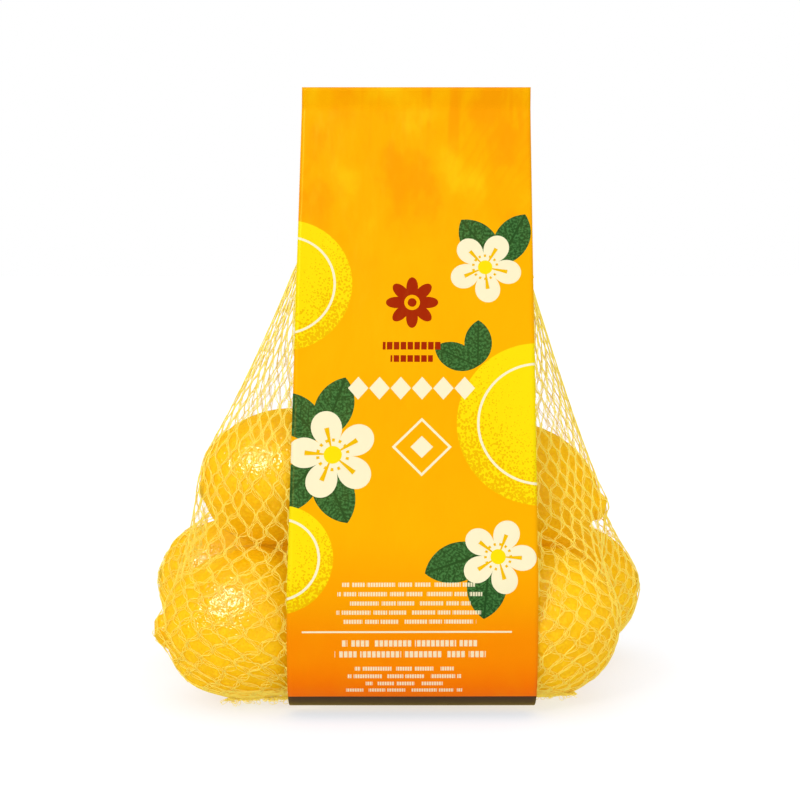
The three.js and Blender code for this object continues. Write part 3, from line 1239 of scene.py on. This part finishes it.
class Sheet:
    """A shader node group while it is drawn up."""

    def __init__(self, name: str, inputs: dict[str, str], outputs: dict[str, str]) -> None:
        """Starts the group.

        Args:
            name: Its name.
            inputs: Its input sockets' names and kinds.
            outputs: Its output sockets' names and kinds.
        """
        self.tree = bpy.data.node_groups.new(name, "ShaderNodeTree")
        for way, sockets in (("INPUT", inputs), ("OUTPUT", outputs)):
            for label, kind in sockets.items():
                self.tree.interface.new_socket(label, in_out=way, socket_type=kind)
        self.source = self.tree.nodes.new("NodeGroupInput")
        self.sink = self.tree.nodes.new("NodeGroupOutput")

    def given(self, label: str) -> Field:
        """An input of the group."""
        return Field(self.tree, self.source.outputs[label])

    def give(self, label: str, result: Field) -> None:
        """Sets an output of the group."""
        self.tree.links.new(result.socket, self.sink.inputs[label])

    def split(self, vector: Field) -> tuple[Field, Field, Field]:
        """Takes a vector apart.

        Args:
            vector: The vector.

        Returns:
            Its three numbers.
        """
        node = self.tree.nodes.new("ShaderNodeSeparateXYZ")
        self.tree.links.new(vector.socket, node.inputs[0])
        return tuple(Field(self.tree, socket) for socket in node.outputs)

    def join(self, *parts: Field) -> Field:
        """Puts numbers together as a vector.

        Args:
            *parts: Two or three numbers.

        Returns:
            The vector.
        """
        node = self.tree.nodes.new("ShaderNodeCombineXYZ")
        for slot, part in zip(node.inputs, parts):
            self.tree.links.new(part.socket, slot)
        return Field(self.tree, node.outputs[0])

    def texture(
        self, kind: str, vector: Field, scale: float, output: str, **values: float
    ) -> Field:
        """Adds a noise or Voronoi texture.

        Args:
            kind: The node's type.
            vector: Where it is read.
            scale: Its scale.
            output: The output that is used.
            **values: Values of its other inputs.

        Returns:
            That output.
        """
        node = self.tree.nodes.new(kind)
        self.tree.links.new(vector.socket, node.inputs["Vector"])
        node.inputs["Scale"].default_value = scale
        for label, value in values.items():
            node.inputs[label].default_value = value
        return Field(self.tree, node.outputs[output])

    def noise(self, vector: Field, scale: float, detail: float = 2.0) -> Field:
        """Noise from 0 to 1."""
        return self.texture("ShaderNodeTexNoise", vector, scale, "Fac", Detail=detail)

    def cells(self, vector: Field, scale: float) -> Field:
        """Distance to the nearest of scattered points."""
        return self.texture("ShaderNodeTexVoronoi", vector, scale, "Distance")

    def colour(self, value: Colour) -> Field:
        """Adds a plain colour.

        Args:
            value: The colour, linear.

        Returns:
            The colour as the group has it.
        """
        node = self.tree.nodes.new("ShaderNodeRGB")
        node.outputs[0].default_value = (*value, 1.0)
        return Field(self.tree, node.outputs[0])

    def paint(self, under: Field, over: "Field | Colour", mask: "Field | float") -> Field:
        """Lays a colour over another.

        Args:
            under: The colour below.
            over: The colour that is laid over it.
            mask: Where, from 0 to 1.

        Returns:
            The colours together.
        """
        node = self.tree.nodes.new("ShaderNodeMix")
        node.data_type = "RGBA"
        if isinstance(mask, Field):
            self.tree.links.new(mask.socket, node.inputs[0])
        else:
            node.inputs[0].default_value = mask
        self.tree.links.new(under.socket, node.inputs[6])
        if isinstance(over, Field):
            self.tree.links.new(over.socket, node.inputs[7])
        else:
            node.inputs[7].default_value = (*over, 1.0)
        return Field(self.tree, node.outputs[2])

    def ramp(self, factor: Field, stops: tuple[tuple[float, Colour], ...]) -> Field:
        """Adds a colour ramp.

        Args:
            factor: Where it is read.
            stops: Places from 0 to 1 and their colours, those at 0 and 1 before the others.

        Returns:
            The colour.
        """
        node = self.tree.nodes.new("ShaderNodeValToRGB")
        self.tree.links.new(factor.socket, node.inputs[0])
        band = node.color_ramp
        band.interpolation = "EASE"
        for number, (place, value) in enumerate(stops):
            stop = band.elements[number] if number < 2 else band.elements.new(place)
            stop.position = place
            stop.color = (*value, 1.0)
        return Field(self.tree, node.outputs["Color"])

    def bump(self, height: Field, strength: float, distance: float) -> Field:
        """Turns a height into a normal.

        Args:
            height: The height.
            strength: How much of it shows.
            distance: What a height of 1 comes to, in metres.

        Returns:
            The normal.
        """
        node = self.tree.nodes.new("ShaderNodeBump")
        node.inputs["Strength"].default_value = strength
        node.inputs["Distance"].default_value = distance
        self.tree.links.new(height.socket, node.inputs["Height"])
        return Field(self.tree, node.outputs["Normal"])


@dataclass(frozen=True)
class Motif:
    """A printed motif's place on the film, in millimetres from the middle of its lower edge.

    Attributes:
        x: Its middle's place across.
        y: Its middle's place up the film.
        size: Its radius or length.
        turn: Its turn, in degrees.
    """

    x: float
    y: float
    size: float
    turn: float = 0.0


@dataclass(frozen=True)
class PrintedLines:
    """Rows of small printed blocks, centred.

    Attributes:
        x: Their middle's place across.
        top: The first row's upper edge, up the film.
        count: How many rows.
        pitch: From one row to the next.
        tall: A block's height.
        half: Half the longest row's length.
        ragged: How much shorter the shortest row is on either side.
        block: From one block to the next.
        word: From one wide gap to the next.
    """

    x: float
    top: float
    count: int
    pitch: float
    tall: float
    half: float
    ragged: float
    block: float
    word: float


@dataclass(frozen=True)
class FilmPrint:
    """The films' print: suns, blossoms and leaves on orange, an emblem and rows of blocks.

    Attributes:
        width: The film's width, in millimetres.
        length: Its length along its face, from the fold at its lower edge up.
        tail: Length of the tail that is folded under, painted near black as shadow.
        depth: How strong the inks are.
        fold: The tail's colour, near black: painted shadow under the film's lower edge.
        suns: Speckled discs, cut by the film's edges.
        blossoms: Blossoms of five petals.
        leaves: Where a pair of leaves springs from, their length and the way between them.
        rows: Rows of blocks.
        emblem: The rosette in the middle.
        bars: Two bars: how far below its middle, half their height and half their length.
        chain: A row of lozenges, its place from the rosette's middle, and the length of one.
        lozenge: An outlined lozenge, its place from the rosette's middle too.
        rule: A rule, and half its length.
        cream: Colour of blossoms, blocks and lines.
        red: Colour of the emblem.
        sun_light: The discs' colour.
        sun_dark: Colour of their specks.
        leaf_light: The leaves' colour.
        leaf_dark: Colour of their veins and mottling.
    """

    width: float = 91.0
    length: float = 238.4
    tail: float = 12.3
    depth: float = 0.86
    # Near black: painted shadow on the folded tail.
    fold: Colour = (0.060, 0.036, 0.026)
    suns: tuple[Motif, ...] = (
        Motif(47.0, 104.0, 31.0),
        Motif(-50.0, 158.0, 26.0),
        Motif(-49.0, 53.0, 20.0),
    )
    blossoms: tuple[Motif, ...] = (
        Motif(27.0, 165.0, 14.0, 12.0),
        Motif(-30.0, 92.0, 17.0, 40.0),
        Motif(31.0, 54.0, 14.0, 75.0),
    )
    leaves: tuple[Motif, ...] = (
        Motif(32.0, 166.0, 23.0, 95.0),
        Motif(-35.0, 90.0, 26.0, 262.0),
        Motif(-34.0, 98.0, 25.0, 104.0),
        Motif(28.0, 56.0, 25.0, 232.0),
        Motif(24.0, 126.0, 18.0, 122.0),
    )
    rows: tuple[PrintedLines, ...] = (
        PrintedLines(-1.0, 44.5, 5, 3.4, 1.5, 27.0, 5.0, 0.95, 8.0),
        PrintedLines(-1.0, 23.2, 2, 4.1, 2.3, 29.0, 9.0, 1.7, 13.0),
        PrintedLines(-3.0, 13.2, 4, 3.0, 1.5, 22.0, 8.0, 0.9, 9.0),
    )
    emblem: Motif = Motif(-1.0, 151.0, 10.0)
    bars: tuple[tuple[float, float, float], ...] = ((17.0, 1.5, 11.0), (22.0, 1.3, 8.0))
    chain: Motif = Motif(0.0, -33.5, 8.0)
    lozenge: Motif = Motif(4.0, -56.0, 10.5)
    rule: Motif = Motif(-2.0, 26.3, 38.0)
    cream: Colour = (0.95, 0.87, 0.58)
    red: Colour = (0.36, 0.012, 0.002)
    sun_light: Colour = (0.96, 0.74, 0.004)
    sun_dark: Colour = (0.88, 0.50, 0.002)
    leaf_light: Colour = (0.050, 0.19, 0.050)
    leaf_dark: Colour = (0.012, 0.075, 0.018)

    def ground(self, sheet: Sheet, x: Field, y: Field) -> Field:
        """The orange ground: deeper towards the bottom, partly print and partly painted shade, and
        mottled towards the header with painted shade and sheen.

        Args:
            sheet: The group.
            x: Places across, in millimetres.
            y: Places up.

        Returns:
            The colour.
        """
        up = y / self.length
        # Deeper orange towards the bottom: partly the print's own gradient, partly painted shade
        # where the film turns down under the fruit.
        stops = (
            (0.0, (0.96, 0.175, 0.001)),
            (1.0, (0.98, 0.435, 0.001)),
            (0.085, (0.97, 0.265, 0.001)),
            (0.17, (0.98, 0.365, 0.001)),
            (0.27, (0.985, 0.440, 0.001)),
            (0.46, (0.99, 0.430, 0.001)),
            (0.55, (0.99, 0.450, 0.001)),
            (0.70, (0.99, 0.450, 0.001)),
            (0.80, (0.99, 0.430, 0.001)),
        )
        colour = sheet.ramp(up, stops)
        header = y.ease(158.0, 196.0)
        # Painted shade and sheen of the film's crinkles: cloudy darker and lighter patches,
        # strongest in the header, and darker streaks below the top edge.
        clouds = sheet.noise(sheet.join(x, y * 0.62), 0.045, 4.0)
        dark = clouds.ease(0.53, 0.34) * (header * 0.62 + 0.10)
        light = clouds.ease(0.52, 0.70) * (header * 0.75 + 0.08)
        painted_crinkle_shade = sheet.noise(sheet.join(x, y * 0.10), 0.16).ease(0.50, 0.30)
        painted_crinkle_shade = painted_crinkle_shade * y.ease(196.0, 232.0)
        colour = sheet.paint(colour, (0.95, 0.315, 0.001), dark.math("MAXIMUM", painted_crinkle_shade * 0.75))
        colour = sheet.paint(colour, (1.0, 0.56, 0.004), light)
        # Painted shade of fine slanting ripples on the header's right side.
        slant = (x * 0.86 + y * -0.52) * 1.6 + sheet.noise(sheet.join(x, y), 0.12, 1.0) * 6.0
        painted_ripple_shade = slant.math("SINE").ease(0.1, 1.0) * x.ease(6.0, 26.0) * y.ease(186.0, 212.0)
        return sheet.paint(colour, (0.95, 0.33, 0.001), painted_ripple_shade * 0.22)

    def leaf_pair(self, x: Field, y: Field, at: Motif) -> tuple[Field, Field]:
        """Two pointed leaves that spring from one place.

        Args:
            x: Places across.
            y: Places up.
            at: Where they spring from, their length and the way they point between them.

        Returns:
            The leaves' mask, and a mask of their veins.
        """
        turn, splay = math.radians(at.turn), math.radians(33.0)
        dx, dy = x - at.x, y - at.y
        along = dx * math.cos(turn) + dy * math.sin(turn)
        aside = abs(dy * math.cos(turn) - dx * math.sin(turn))
        p = along * math.cos(splay) + aside * math.sin(splay)
        q = aside * math.cos(splay) - along * math.sin(splay)
        half, wide = 0.5 * at.size, 0.29 * at.size
        radius = (half * half + wide * wide) / (2.0 * wide)
        side = abs(q)
        mask = (p - half).hypot(side + (radius - wide)).below(radius)
        ribs = ((p - side * 0.85) / (0.15 * at.size)).math("FRACT").below(0.10)
        veins = side.below(0.016 * at.size).math("MAXIMUM", ribs)
        return mask, veins

    def blossom(self, x: Field, y: Field, at: Motif) -> tuple[Field, Field, Field]:
        """A blossom of five petals.

        Args:
            x: Places across.
            y: Places up.
            at: Its middle, radius and turn.

        Returns:
            Masks of its petals, of their creases and stamens, and of its eye.
        """
        dx, dy = x - at.x, y - at.y
        reach = dx.hypot(dy) / at.size
        angle = dy.math("ARCTAN2", dx) + math.radians(at.turn)
        lobe = abs((angle * 2.5).math("COSINE"))
        petals = reach.below(lobe.math("POWER", 0.55) * 0.62 + 0.38)
        creases = lobe.above(0.975) * reach.below(0.62)
        stamens = (angle * 14.0).math("COSINE").above(0.25) * abs(reach - 0.33).below(0.035)
        return petals, creases.math("MAXIMUM", stamens), reach.below(0.20)

    def written(self, x: Field, y: Field, lines: PrintedLines) -> Field:
        """Rows of blocks.

        Args:
            x: Places across.
            y: Places up.
            lines: The rows.

        Returns:
            Their mask.
        """
        down = (y * -1.0 + lines.top) / lines.pitch
        row = down.math("FLOOR")
        ragged = 0.5 * lines.ragged
        length = (row * 2.4).math("SINE") * ragged + (lines.half - ragged)
        inside = (down - row).below(lines.tall / lines.pitch) * row.above(-0.5)
        inside = inside * row.below(lines.count - 0.5) * abs(x - lines.x).below(length)
        word = x / lines.word + (x * 0.31 + row).math("SINE") * 0.22 + row * 0.37
        block = ((x + row) / lines.block).math("FRACT").below(0.74)
        return inside * word.math("FRACT").above(0.13) * block

    def emblem_masks(self, x: Field, y: Field) -> tuple[Field, Field]:
        """A rosette over two short bars, with lozenges and a rule under them.

        Args:
            x: Places across.
            y: Places up.

        Returns:
            The mask of what is red, and that of what is cream.
        """
        dx, dy = x - self.emblem.x, y - self.emblem.y
        reach, angle = dx.hypot(dy) / self.emblem.size, dy.math("ARCTAN2", dx)
        star = reach.below(abs((angle * 4.0).math("COSINE")) * 0.42 + 0.58) * reach.above(0.30)
        red = star.math("MAXIMUM", reach.below(0.17))
        upper, lower = (
            (abs(dy + down) - tall).math("MAXIMUM", abs(dx) - long)
            for down, tall, long in self.bars
        )
        blocks = upper.math("MINIMUM", lower).below(0.0) * (x / 2.6).math("FRACT").below(0.8)
        red = red.math("MAXIMUM", blocks)
        link = self.chain.size
        step = ((dx + 3.0 * link) / link).math("FRACT") * link - 0.5 * link
        chain = (abs(step) * 1.15 + abs(dy - self.chain.y)).below(0.55 * link)
        chain = chain * abs(dx).below(3.0 * link - 0.1)
        away = abs(dx - self.lozenge.x) + abs(dy - self.lozenge.y)
        outlined = abs(away - self.lozenge.size).below(0.62).math("MAXIMUM", away.below(4.2))
        rule = abs(y - self.rule.y).below(0.32) * abs(x - self.rule.x).below(self.rule.size)
        return red, chain.math("MAXIMUM", outlined).math("MAXIMUM", rule)

    def group(self) -> bpy.types.NodeTree:
        """Draws up the print's node group.

        Returns:
            The group, from a UV vector to a colour and a normal.
        """
        sheet = Sheet("film_print", {"UV": "NodeSocketVector"}, SKIN)
        u, v, _ = sheet.split(sheet.given("UV"))
        x, y = (u - 0.5) * self.width, v * (self.length + self.tail) - self.tail
        plane = sheet.join(x, y)
        grain = sheet.noise(plane, 1.1, 3.0)
        dots = sheet.cells(plane, 1.15)
        colour = self.ground(sheet, x, y)
        leaf = sheet.paint(sheet.colour(self.leaf_dark), self.leaf_light, grain.ease(0.40, 0.62))
        for at in self.leaves:
            mask, veins = self.leaf_pair(x, y, at)
            colour = sheet.paint(colour, sheet.paint(leaf, self.leaf_dark, veins), mask)
        for at in self.suns:
            dx, dy = x - at.x, y - at.y
            reach = dx.hypot(dy)
            side = (abs(dx) * 0.5 + dy * -0.55 + reach * 0.35) / at.size
            speck = dots.below(side * 0.5 + 0.10 + (grain - 0.5) * 0.5)
            face = sheet.paint(sheet.colour(self.sun_light), self.sun_dark, speck)
            face = sheet.paint(face, self.cream, abs(reach - 0.74 * at.size).below(0.45))
            colour = sheet.paint(colour, face, reach.below(at.size))
        for at in self.blossoms:
            petals, marks, eye = self.blossom(x, y, at)
            bloom = sheet.paint(sheet.colour(self.cream), self.sun_dark, marks)
            bloom = sheet.paint(bloom, self.sun_light, eye)
            colour = sheet.paint(colour, bloom, petals)
        red, cream = self.emblem_masks(x, y)
        colour = sheet.paint(colour, self.red, red)
        for lines in self.rows:
            cream = cream.math("MAXIMUM", self.written(x, y, lines) * 0.85)
        colour = sheet.paint(colour, self.cream, cream)
        # Painted shadow: the tail below the print takes the near-black fold colour.
        colour = sheet.paint(colour, self.fold, y.below(0.0))
        sheet.give("Colour", sheet.paint(colour, (0.0, 0.0, 0.0), 1.0 - self.depth))
        soft = sheet.noise(sheet.join(x, y * 0.5), 0.07, 3.0) + grain * 0.02
        sheet.give("Normal", sheet.bump(soft, 0.35, 0.002))
        return sheet.tree


def peel_group() -> bpy.types.NodeTree:
    """Draws up the peel's node group.

    Returns:
        The group, from a place and a UV vector to a colour and a normal.
    """
    sheet = Sheet("peel_skin", {"Place": "NodeSocketVector", "UV": "NodeSocketVector"}, SKIN)
    place = sheet.given("Place")
    _, up, _ = sheet.split(sheet.given("UV"))
    pores = sheet.cells(place, 820.0).ease(0.50, 0.08)
    grain = sheet.noise(place, 1700.0, 2.0)
    clouds = sheet.noise(place, 55.0, 3.0)
    rolls = sheet.noise(place, 300.0, 2.0)
    dimples = sheet.noise(place, 640.0, 1.0)
    colour = sheet.colour((0.76, 0.395, 0.0010))
    colour = sheet.paint(colour, (0.80, 0.455, 0.0020), clouds.ease(0.34, 0.66))
    # Painted light and shade of the peel's relief: lighter on the dimples' crests and deeper orange
    # in the pores, the same relief that the bump below makes.
    colour = sheet.paint(colour, (0.90, 0.58, 0.010), dimples.ease(0.46, 0.72) * 0.5)
    colour = sheet.paint(colour, (0.76, 0.32, 0.001), pores * 0.5)
    colour = sheet.paint(colour, (0.60, 0.38, 0.014), up.ease(0.965, 0.995) * 0.5)
    colour = sheet.paint(colour, (0.42, 0.27, 0.020), up.ease(0.022, 0.010) * 0.7)
    sheet.give("Colour", colour)
    height = rolls * 1.2 + dimples * 1.2 + grain * 0.2 - pores * 0.3
    sheet.give("Normal", sheet.bump(height, 1.0, 0.00026))
    return sheet.tree


# ---- Finishes ----


@dataclass(frozen=True)
class Finish:
    """A Principled surface's constant values.

    Attributes:
        name: The material's name.
        colour: Its base colour, linear.
        roughness: Its roughness.
        specular: Its specular level.
        tint: The colour of its reflections.
        ior: Its index of refraction.
        subsurface: How much light passes under the surface.
        glow_depth: How deep that light goes, in metres, for red, green and blue.
        glow: Strength of its own light, of its own colour; painted light on the peel and strands.
    """

    name: str
    colour: Colour
    roughness: float = 0.5
    specular: float = 0.5
    tint: Colour = (1.0, 1.0, 1.0)
    ior: float = 1.5
    subsurface: float = 0.0
    glow_depth: Colour = (0.002, 0.001, 0.0005)
    glow: float = 0.0

    def material(
        self, group: bpy.types.NodeTree | None = None, **vectors: str
    ) -> bpy.types.Material:
        """Makes the material.

        Args:
            group: A node group that gives its colour and normal.
            **vectors: For each input of the group, the texture coordinate that it takes.

        Returns:
            The material.
        """
        material = bpy.data.materials.new(self.name)
        material.use_nodes = True
        tree = material.node_tree
        surface = tree.nodes["Principled BSDF"]
        values = {
            "Base Color": (*self.colour, 1.0),
            "Roughness": self.roughness,
            "Specular IOR Level": self.specular,
            "IOR": self.ior,
            "Specular Tint": (*self.tint, 1.0),
            "Subsurface Weight": self.subsurface,
            "Subsurface Radius": self.glow_depth,
            "Subsurface Scale": 1.0,
            "Emission Color": (*self.colour, 1.0),
            "Emission Strength": self.glow,
        }
        for label, value in values.items():
            surface.inputs[label].default_value = value
        if group is not None:
            node = tree.nodes.new("ShaderNodeGroup")
            node.node_tree = group
            coordinates = tree.nodes.new("ShaderNodeTexCoord")
            for label, coordinate in vectors.items():
                tree.links.new(coordinates.outputs[coordinate], node.inputs[label])
            tree.links.new(node.outputs["Colour"], surface.inputs["Base Color"])
            tree.links.new(node.outputs["Normal"], surface.inputs["Normal"])
        return material


# The peel's glow is painted light: the peel glows with its own colour to lift its shaded side.
PEEL = Finish(
    "peel", (0.84, 0.50, 0.006), roughness=0.18, specular=0.5, tint=(1.0, 0.96, 0.85), ior=1.34,
    subsurface=0.05, glow_depth=(0.004, 0.002, 0.0004), glow=0.15
)
# The strands' glow is painted light: they glow with their own colour to look brighter.
STRAND = Finish(
    "strand", (0.92, 0.74, 0.115), roughness=0.35, specular=0.40, tint=(1.0, 0.9, 0.5), glow=0.18
)
FILM = Finish("film", (1.0, 0.45, 0.0), roughness=0.34, specular=0.12, tint=(1.0, 0.55, 0.02))
FLOOR = Finish("floor", (0.38, 0.385, 0.395), roughness=0.9, specular=0.0, glow=1.62)


# ---- Studio ----


def ray_colour(
    tree: bpy.types.NodeTree, ray: str, usual: Colour | bpy.types.NodeSocket, other: Colour
) -> bpy.types.NodeSocket:
    """Adds a colour that is another one to one kind of ray.

    Args:
        tree: The material's or the world's nodes.
        ray: Light Path's name of that kind.
        usual: The colour to all other rays, or the socket that gives it.
        other: The colour to that kind.

    Returns:
        The socket that gives the colour.
    """
    path, mix = tree.nodes.new("ShaderNodeLightPath"), tree.nodes.new("ShaderNodeMix")
    mix.data_type = "RGBA"
    tree.links.new(path.outputs[ray], mix.inputs[0])
    if isinstance(usual, bpy.types.NodeSocket):
        tree.links.new(usual, mix.inputs[6])
    else:
        mix.inputs[6].default_value = (*usual, 1.0)
    mix.inputs[7].default_value = (*other, 1.0)
    return mix.outputs[2]


@dataclass(frozen=True)
class FarLight:
    """A wide light, so far away that it is as strong all over the floor.

    Attributes:
        name: Its name.
        place: Where it stands; only the way from there to the bag counts.
        spread: The angle that it takes up, in degrees.
        strength: Its strength, in watts to a square metre.
        gloss_only: It shows in reflections only.
    """

    name: str
    place: Point
    spread: float
    strength: float
    gloss_only: bool = False

    def lamp(self) -> bpy.types.Light:
        """Makes the light itself.

        Returns:
            The light, not yet hung.
        """
        lamp = bpy.data.lights.new(self.name, "SUN")
        lamp.angle = math.radians(self.spread)
        lamp.energy = self.strength
        return lamp


@dataclass
class Studio:
    """A pale floor, soft light and the camera.

    Attributes:
        distance: From the camera to the bag's middle line, in metres.
        elevation: How far the camera looks down, in degrees.
        aim_height: Height that its axis meets in the bag's middle plane.
        aside: The camera's x.
        focal: Focal length on a sensor 36 mm wide.
        shift: The lens's shift across and up, in widths of the picture.
        floor_size: The floor's side.
        surroundings: How bright the surroundings are as a light.
        reflected: Their colour in reflections.
        floor_light: How strongly the floor glows as a light; to the camera it glows as FLOOR says.
        floor_reflected: How bright it is in reflections, as a share of the surroundings there.
        lights: The lights.
        lit_height: Height that the lights look at, over the middle of the bag.
    """

    distance: float = 0.620
    elevation: float = 5.5
    aim_height: float = 0.120
    aside: float = -0.0006
    focal: float = 69.75
    shift: tuple[float, float] = (0.0025, -0.02025)
    floor_size: float = 12.0
    surroundings: float = 0.88
    reflected: Colour = (0.85, 0.64, 0.09)
    floor_light: float = 1.3
    floor_reflected: float = 0.42
    lights: tuple[FarLight, ...] = (
        FarLight("key", (-0.80, -1.20, 1.00), 16.0, 0.65),
        FarLight("gleam", (-0.78, -1.10, 1.30), 22.0, 6.0, True),
        FarLight("top", (-0.25, -0.30, 1.50), 60.0, 0.60),
        FarLight("fill", (0.45, -1.50, 0.55), 40.0, 0.18),
    )
    lit_height: float = 0.09

    def build(self) -> None:
        """Sets up the floor, the surroundings, the lights and the camera."""
        scene = bpy.context.scene
        scene.view_settings.view_transform = "Standard"
        deselect()
        bpy.ops.mesh.primitive_plane_add(size=self.floor_size)
        floor = bpy.context.object
        floor.name = "floor"
        floor.data.materials.append(self.floor_material())
        self.build_surroundings(scene)
        for light in self.lights:
            self.hang(light)
        self.build_camera(scene)

    def floor_material(self) -> bpy.types.Material:
        """Makes the floor's material.

        Returns:
            The material, which glows more to the camera than to what stands on it, and which
            is warm in reflections.
        """
        material = FLOOR.material()
        tree = material.node_tree
        surface = tree.nodes["Principled BSDF"]
        path = tree.nodes.new("ShaderNodeLightPath")
        glow = tree.nodes.new("ShaderNodeMapRange")
        glow.inputs["To Min"].default_value = self.floor_light
        glow.inputs["To Max"].default_value = FLOOR.glow
        tree.links.new(path.outputs["Is Camera Ray"], glow.inputs["Value"])
        tree.links.new(glow.outputs["Result"], surface.inputs["Emission Strength"])
        warm = tuple(self.floor_reflected * part for part in self.reflected)
        colour = ray_colour(tree, "Is Glossy Ray", FLOOR.colour, warm)
        for label in ("Base Color", "Emission Color"):
            tree.links.new(colour, surface.inputs[label])
        return material

    def hang(self, light: FarLight) -> None:
        """Hangs a light, looking at the fruit.

        Args:
            light: The light.
        """
        place, target = Vector(light.place), Vector((0.0, 0.0, self.lit_height))
        holder = bpy.data.objects.new(light.name, light.lamp())
        holder.location = place
        holder.visible_diffuse = not light.gloss_only
        holder.rotation_mode = "QUATERNION"
        holder.rotation_quaternion = (target - place).to_track_quat("-Z", "Y")
        bpy.context.scene.collection.objects.link(holder)

    def build_surroundings(self, scene: bpy.types.Scene) -> None:
        """Makes the surroundings white to the camera, softer as a light and warm in reflections.

        Args:
            scene: The scene.
        """
        world = bpy.data.worlds.new("surroundings")
        world.use_nodes = True
        scene.world = world
        tree = world.node_tree
        sky = tree.nodes["Background"]
        sky.inputs["Strength"].default_value = 1.0
        light = ray_colour(tree, "Is Glossy Ray", (self.surroundings,) * 3, self.reflected)
        seen = ray_colour(tree, "Is Camera Ray", light, (1.0, 1.0, 1.0))
        tree.links.new(seen, sky.inputs["Color"])

    def build_camera(self, scene: bpy.types.Scene) -> None:
        """Puts the camera in place.

        Args:
            scene: The scene.
        """
        tilt = math.radians(self.elevation)
        data = bpy.data.cameras.new("camera")
        data.lens = self.focal
        data.sensor_width = 36.0
        data.shift_x, data.shift_y = self.shift
        data.clip_start, data.clip_end = 0.05, 30.0
        camera = bpy.data.objects.new("camera", data)
        camera.location = (
            self.aside,
            -self.distance * math.cos(tilt),
            self.aim_height + self.distance * math.sin(tilt),
        )
        camera.rotation_euler = (0.5 * math.pi - tilt, 0.0, 0.0)
        scene.collection.objects.link(camera)
        scene.camera = camera


# ---- The whole ----


def main() -> None:
    """Builds the bag and the studio."""
    logging.basicConfig(level=logging.INFO, format="%(message)s")
    shape = BagShape()
    peel = PEEL.material(peel_group(), Place="Object", UV="UV")
    for lemon in LEMONS:
        piece = lemon.build()
        piece.data.materials.append(peel)
        seat(piece, "peel", "net_of_lemons")
    strand = STRAND.material()
    net = KnittedNet(Membrane(shape, LEMONS))
    for piece in (*net.build(), *Frays(net.seam, LEMONS).build()):
        piece.data.materials.append(strand)
        seat(piece, "strand", "net_of_lemons")
    film = FILM.material(FilmPrint().group(), UV="UV")
    for facing in Facing:
        piece = FilmPanel(shape, facing).build()
        piece.data.materials.append(film)
        seat(piece, "film", f"panel_{facing.name.lower()}")
    Studio().build()


if __name__ == "__main__":
    main()
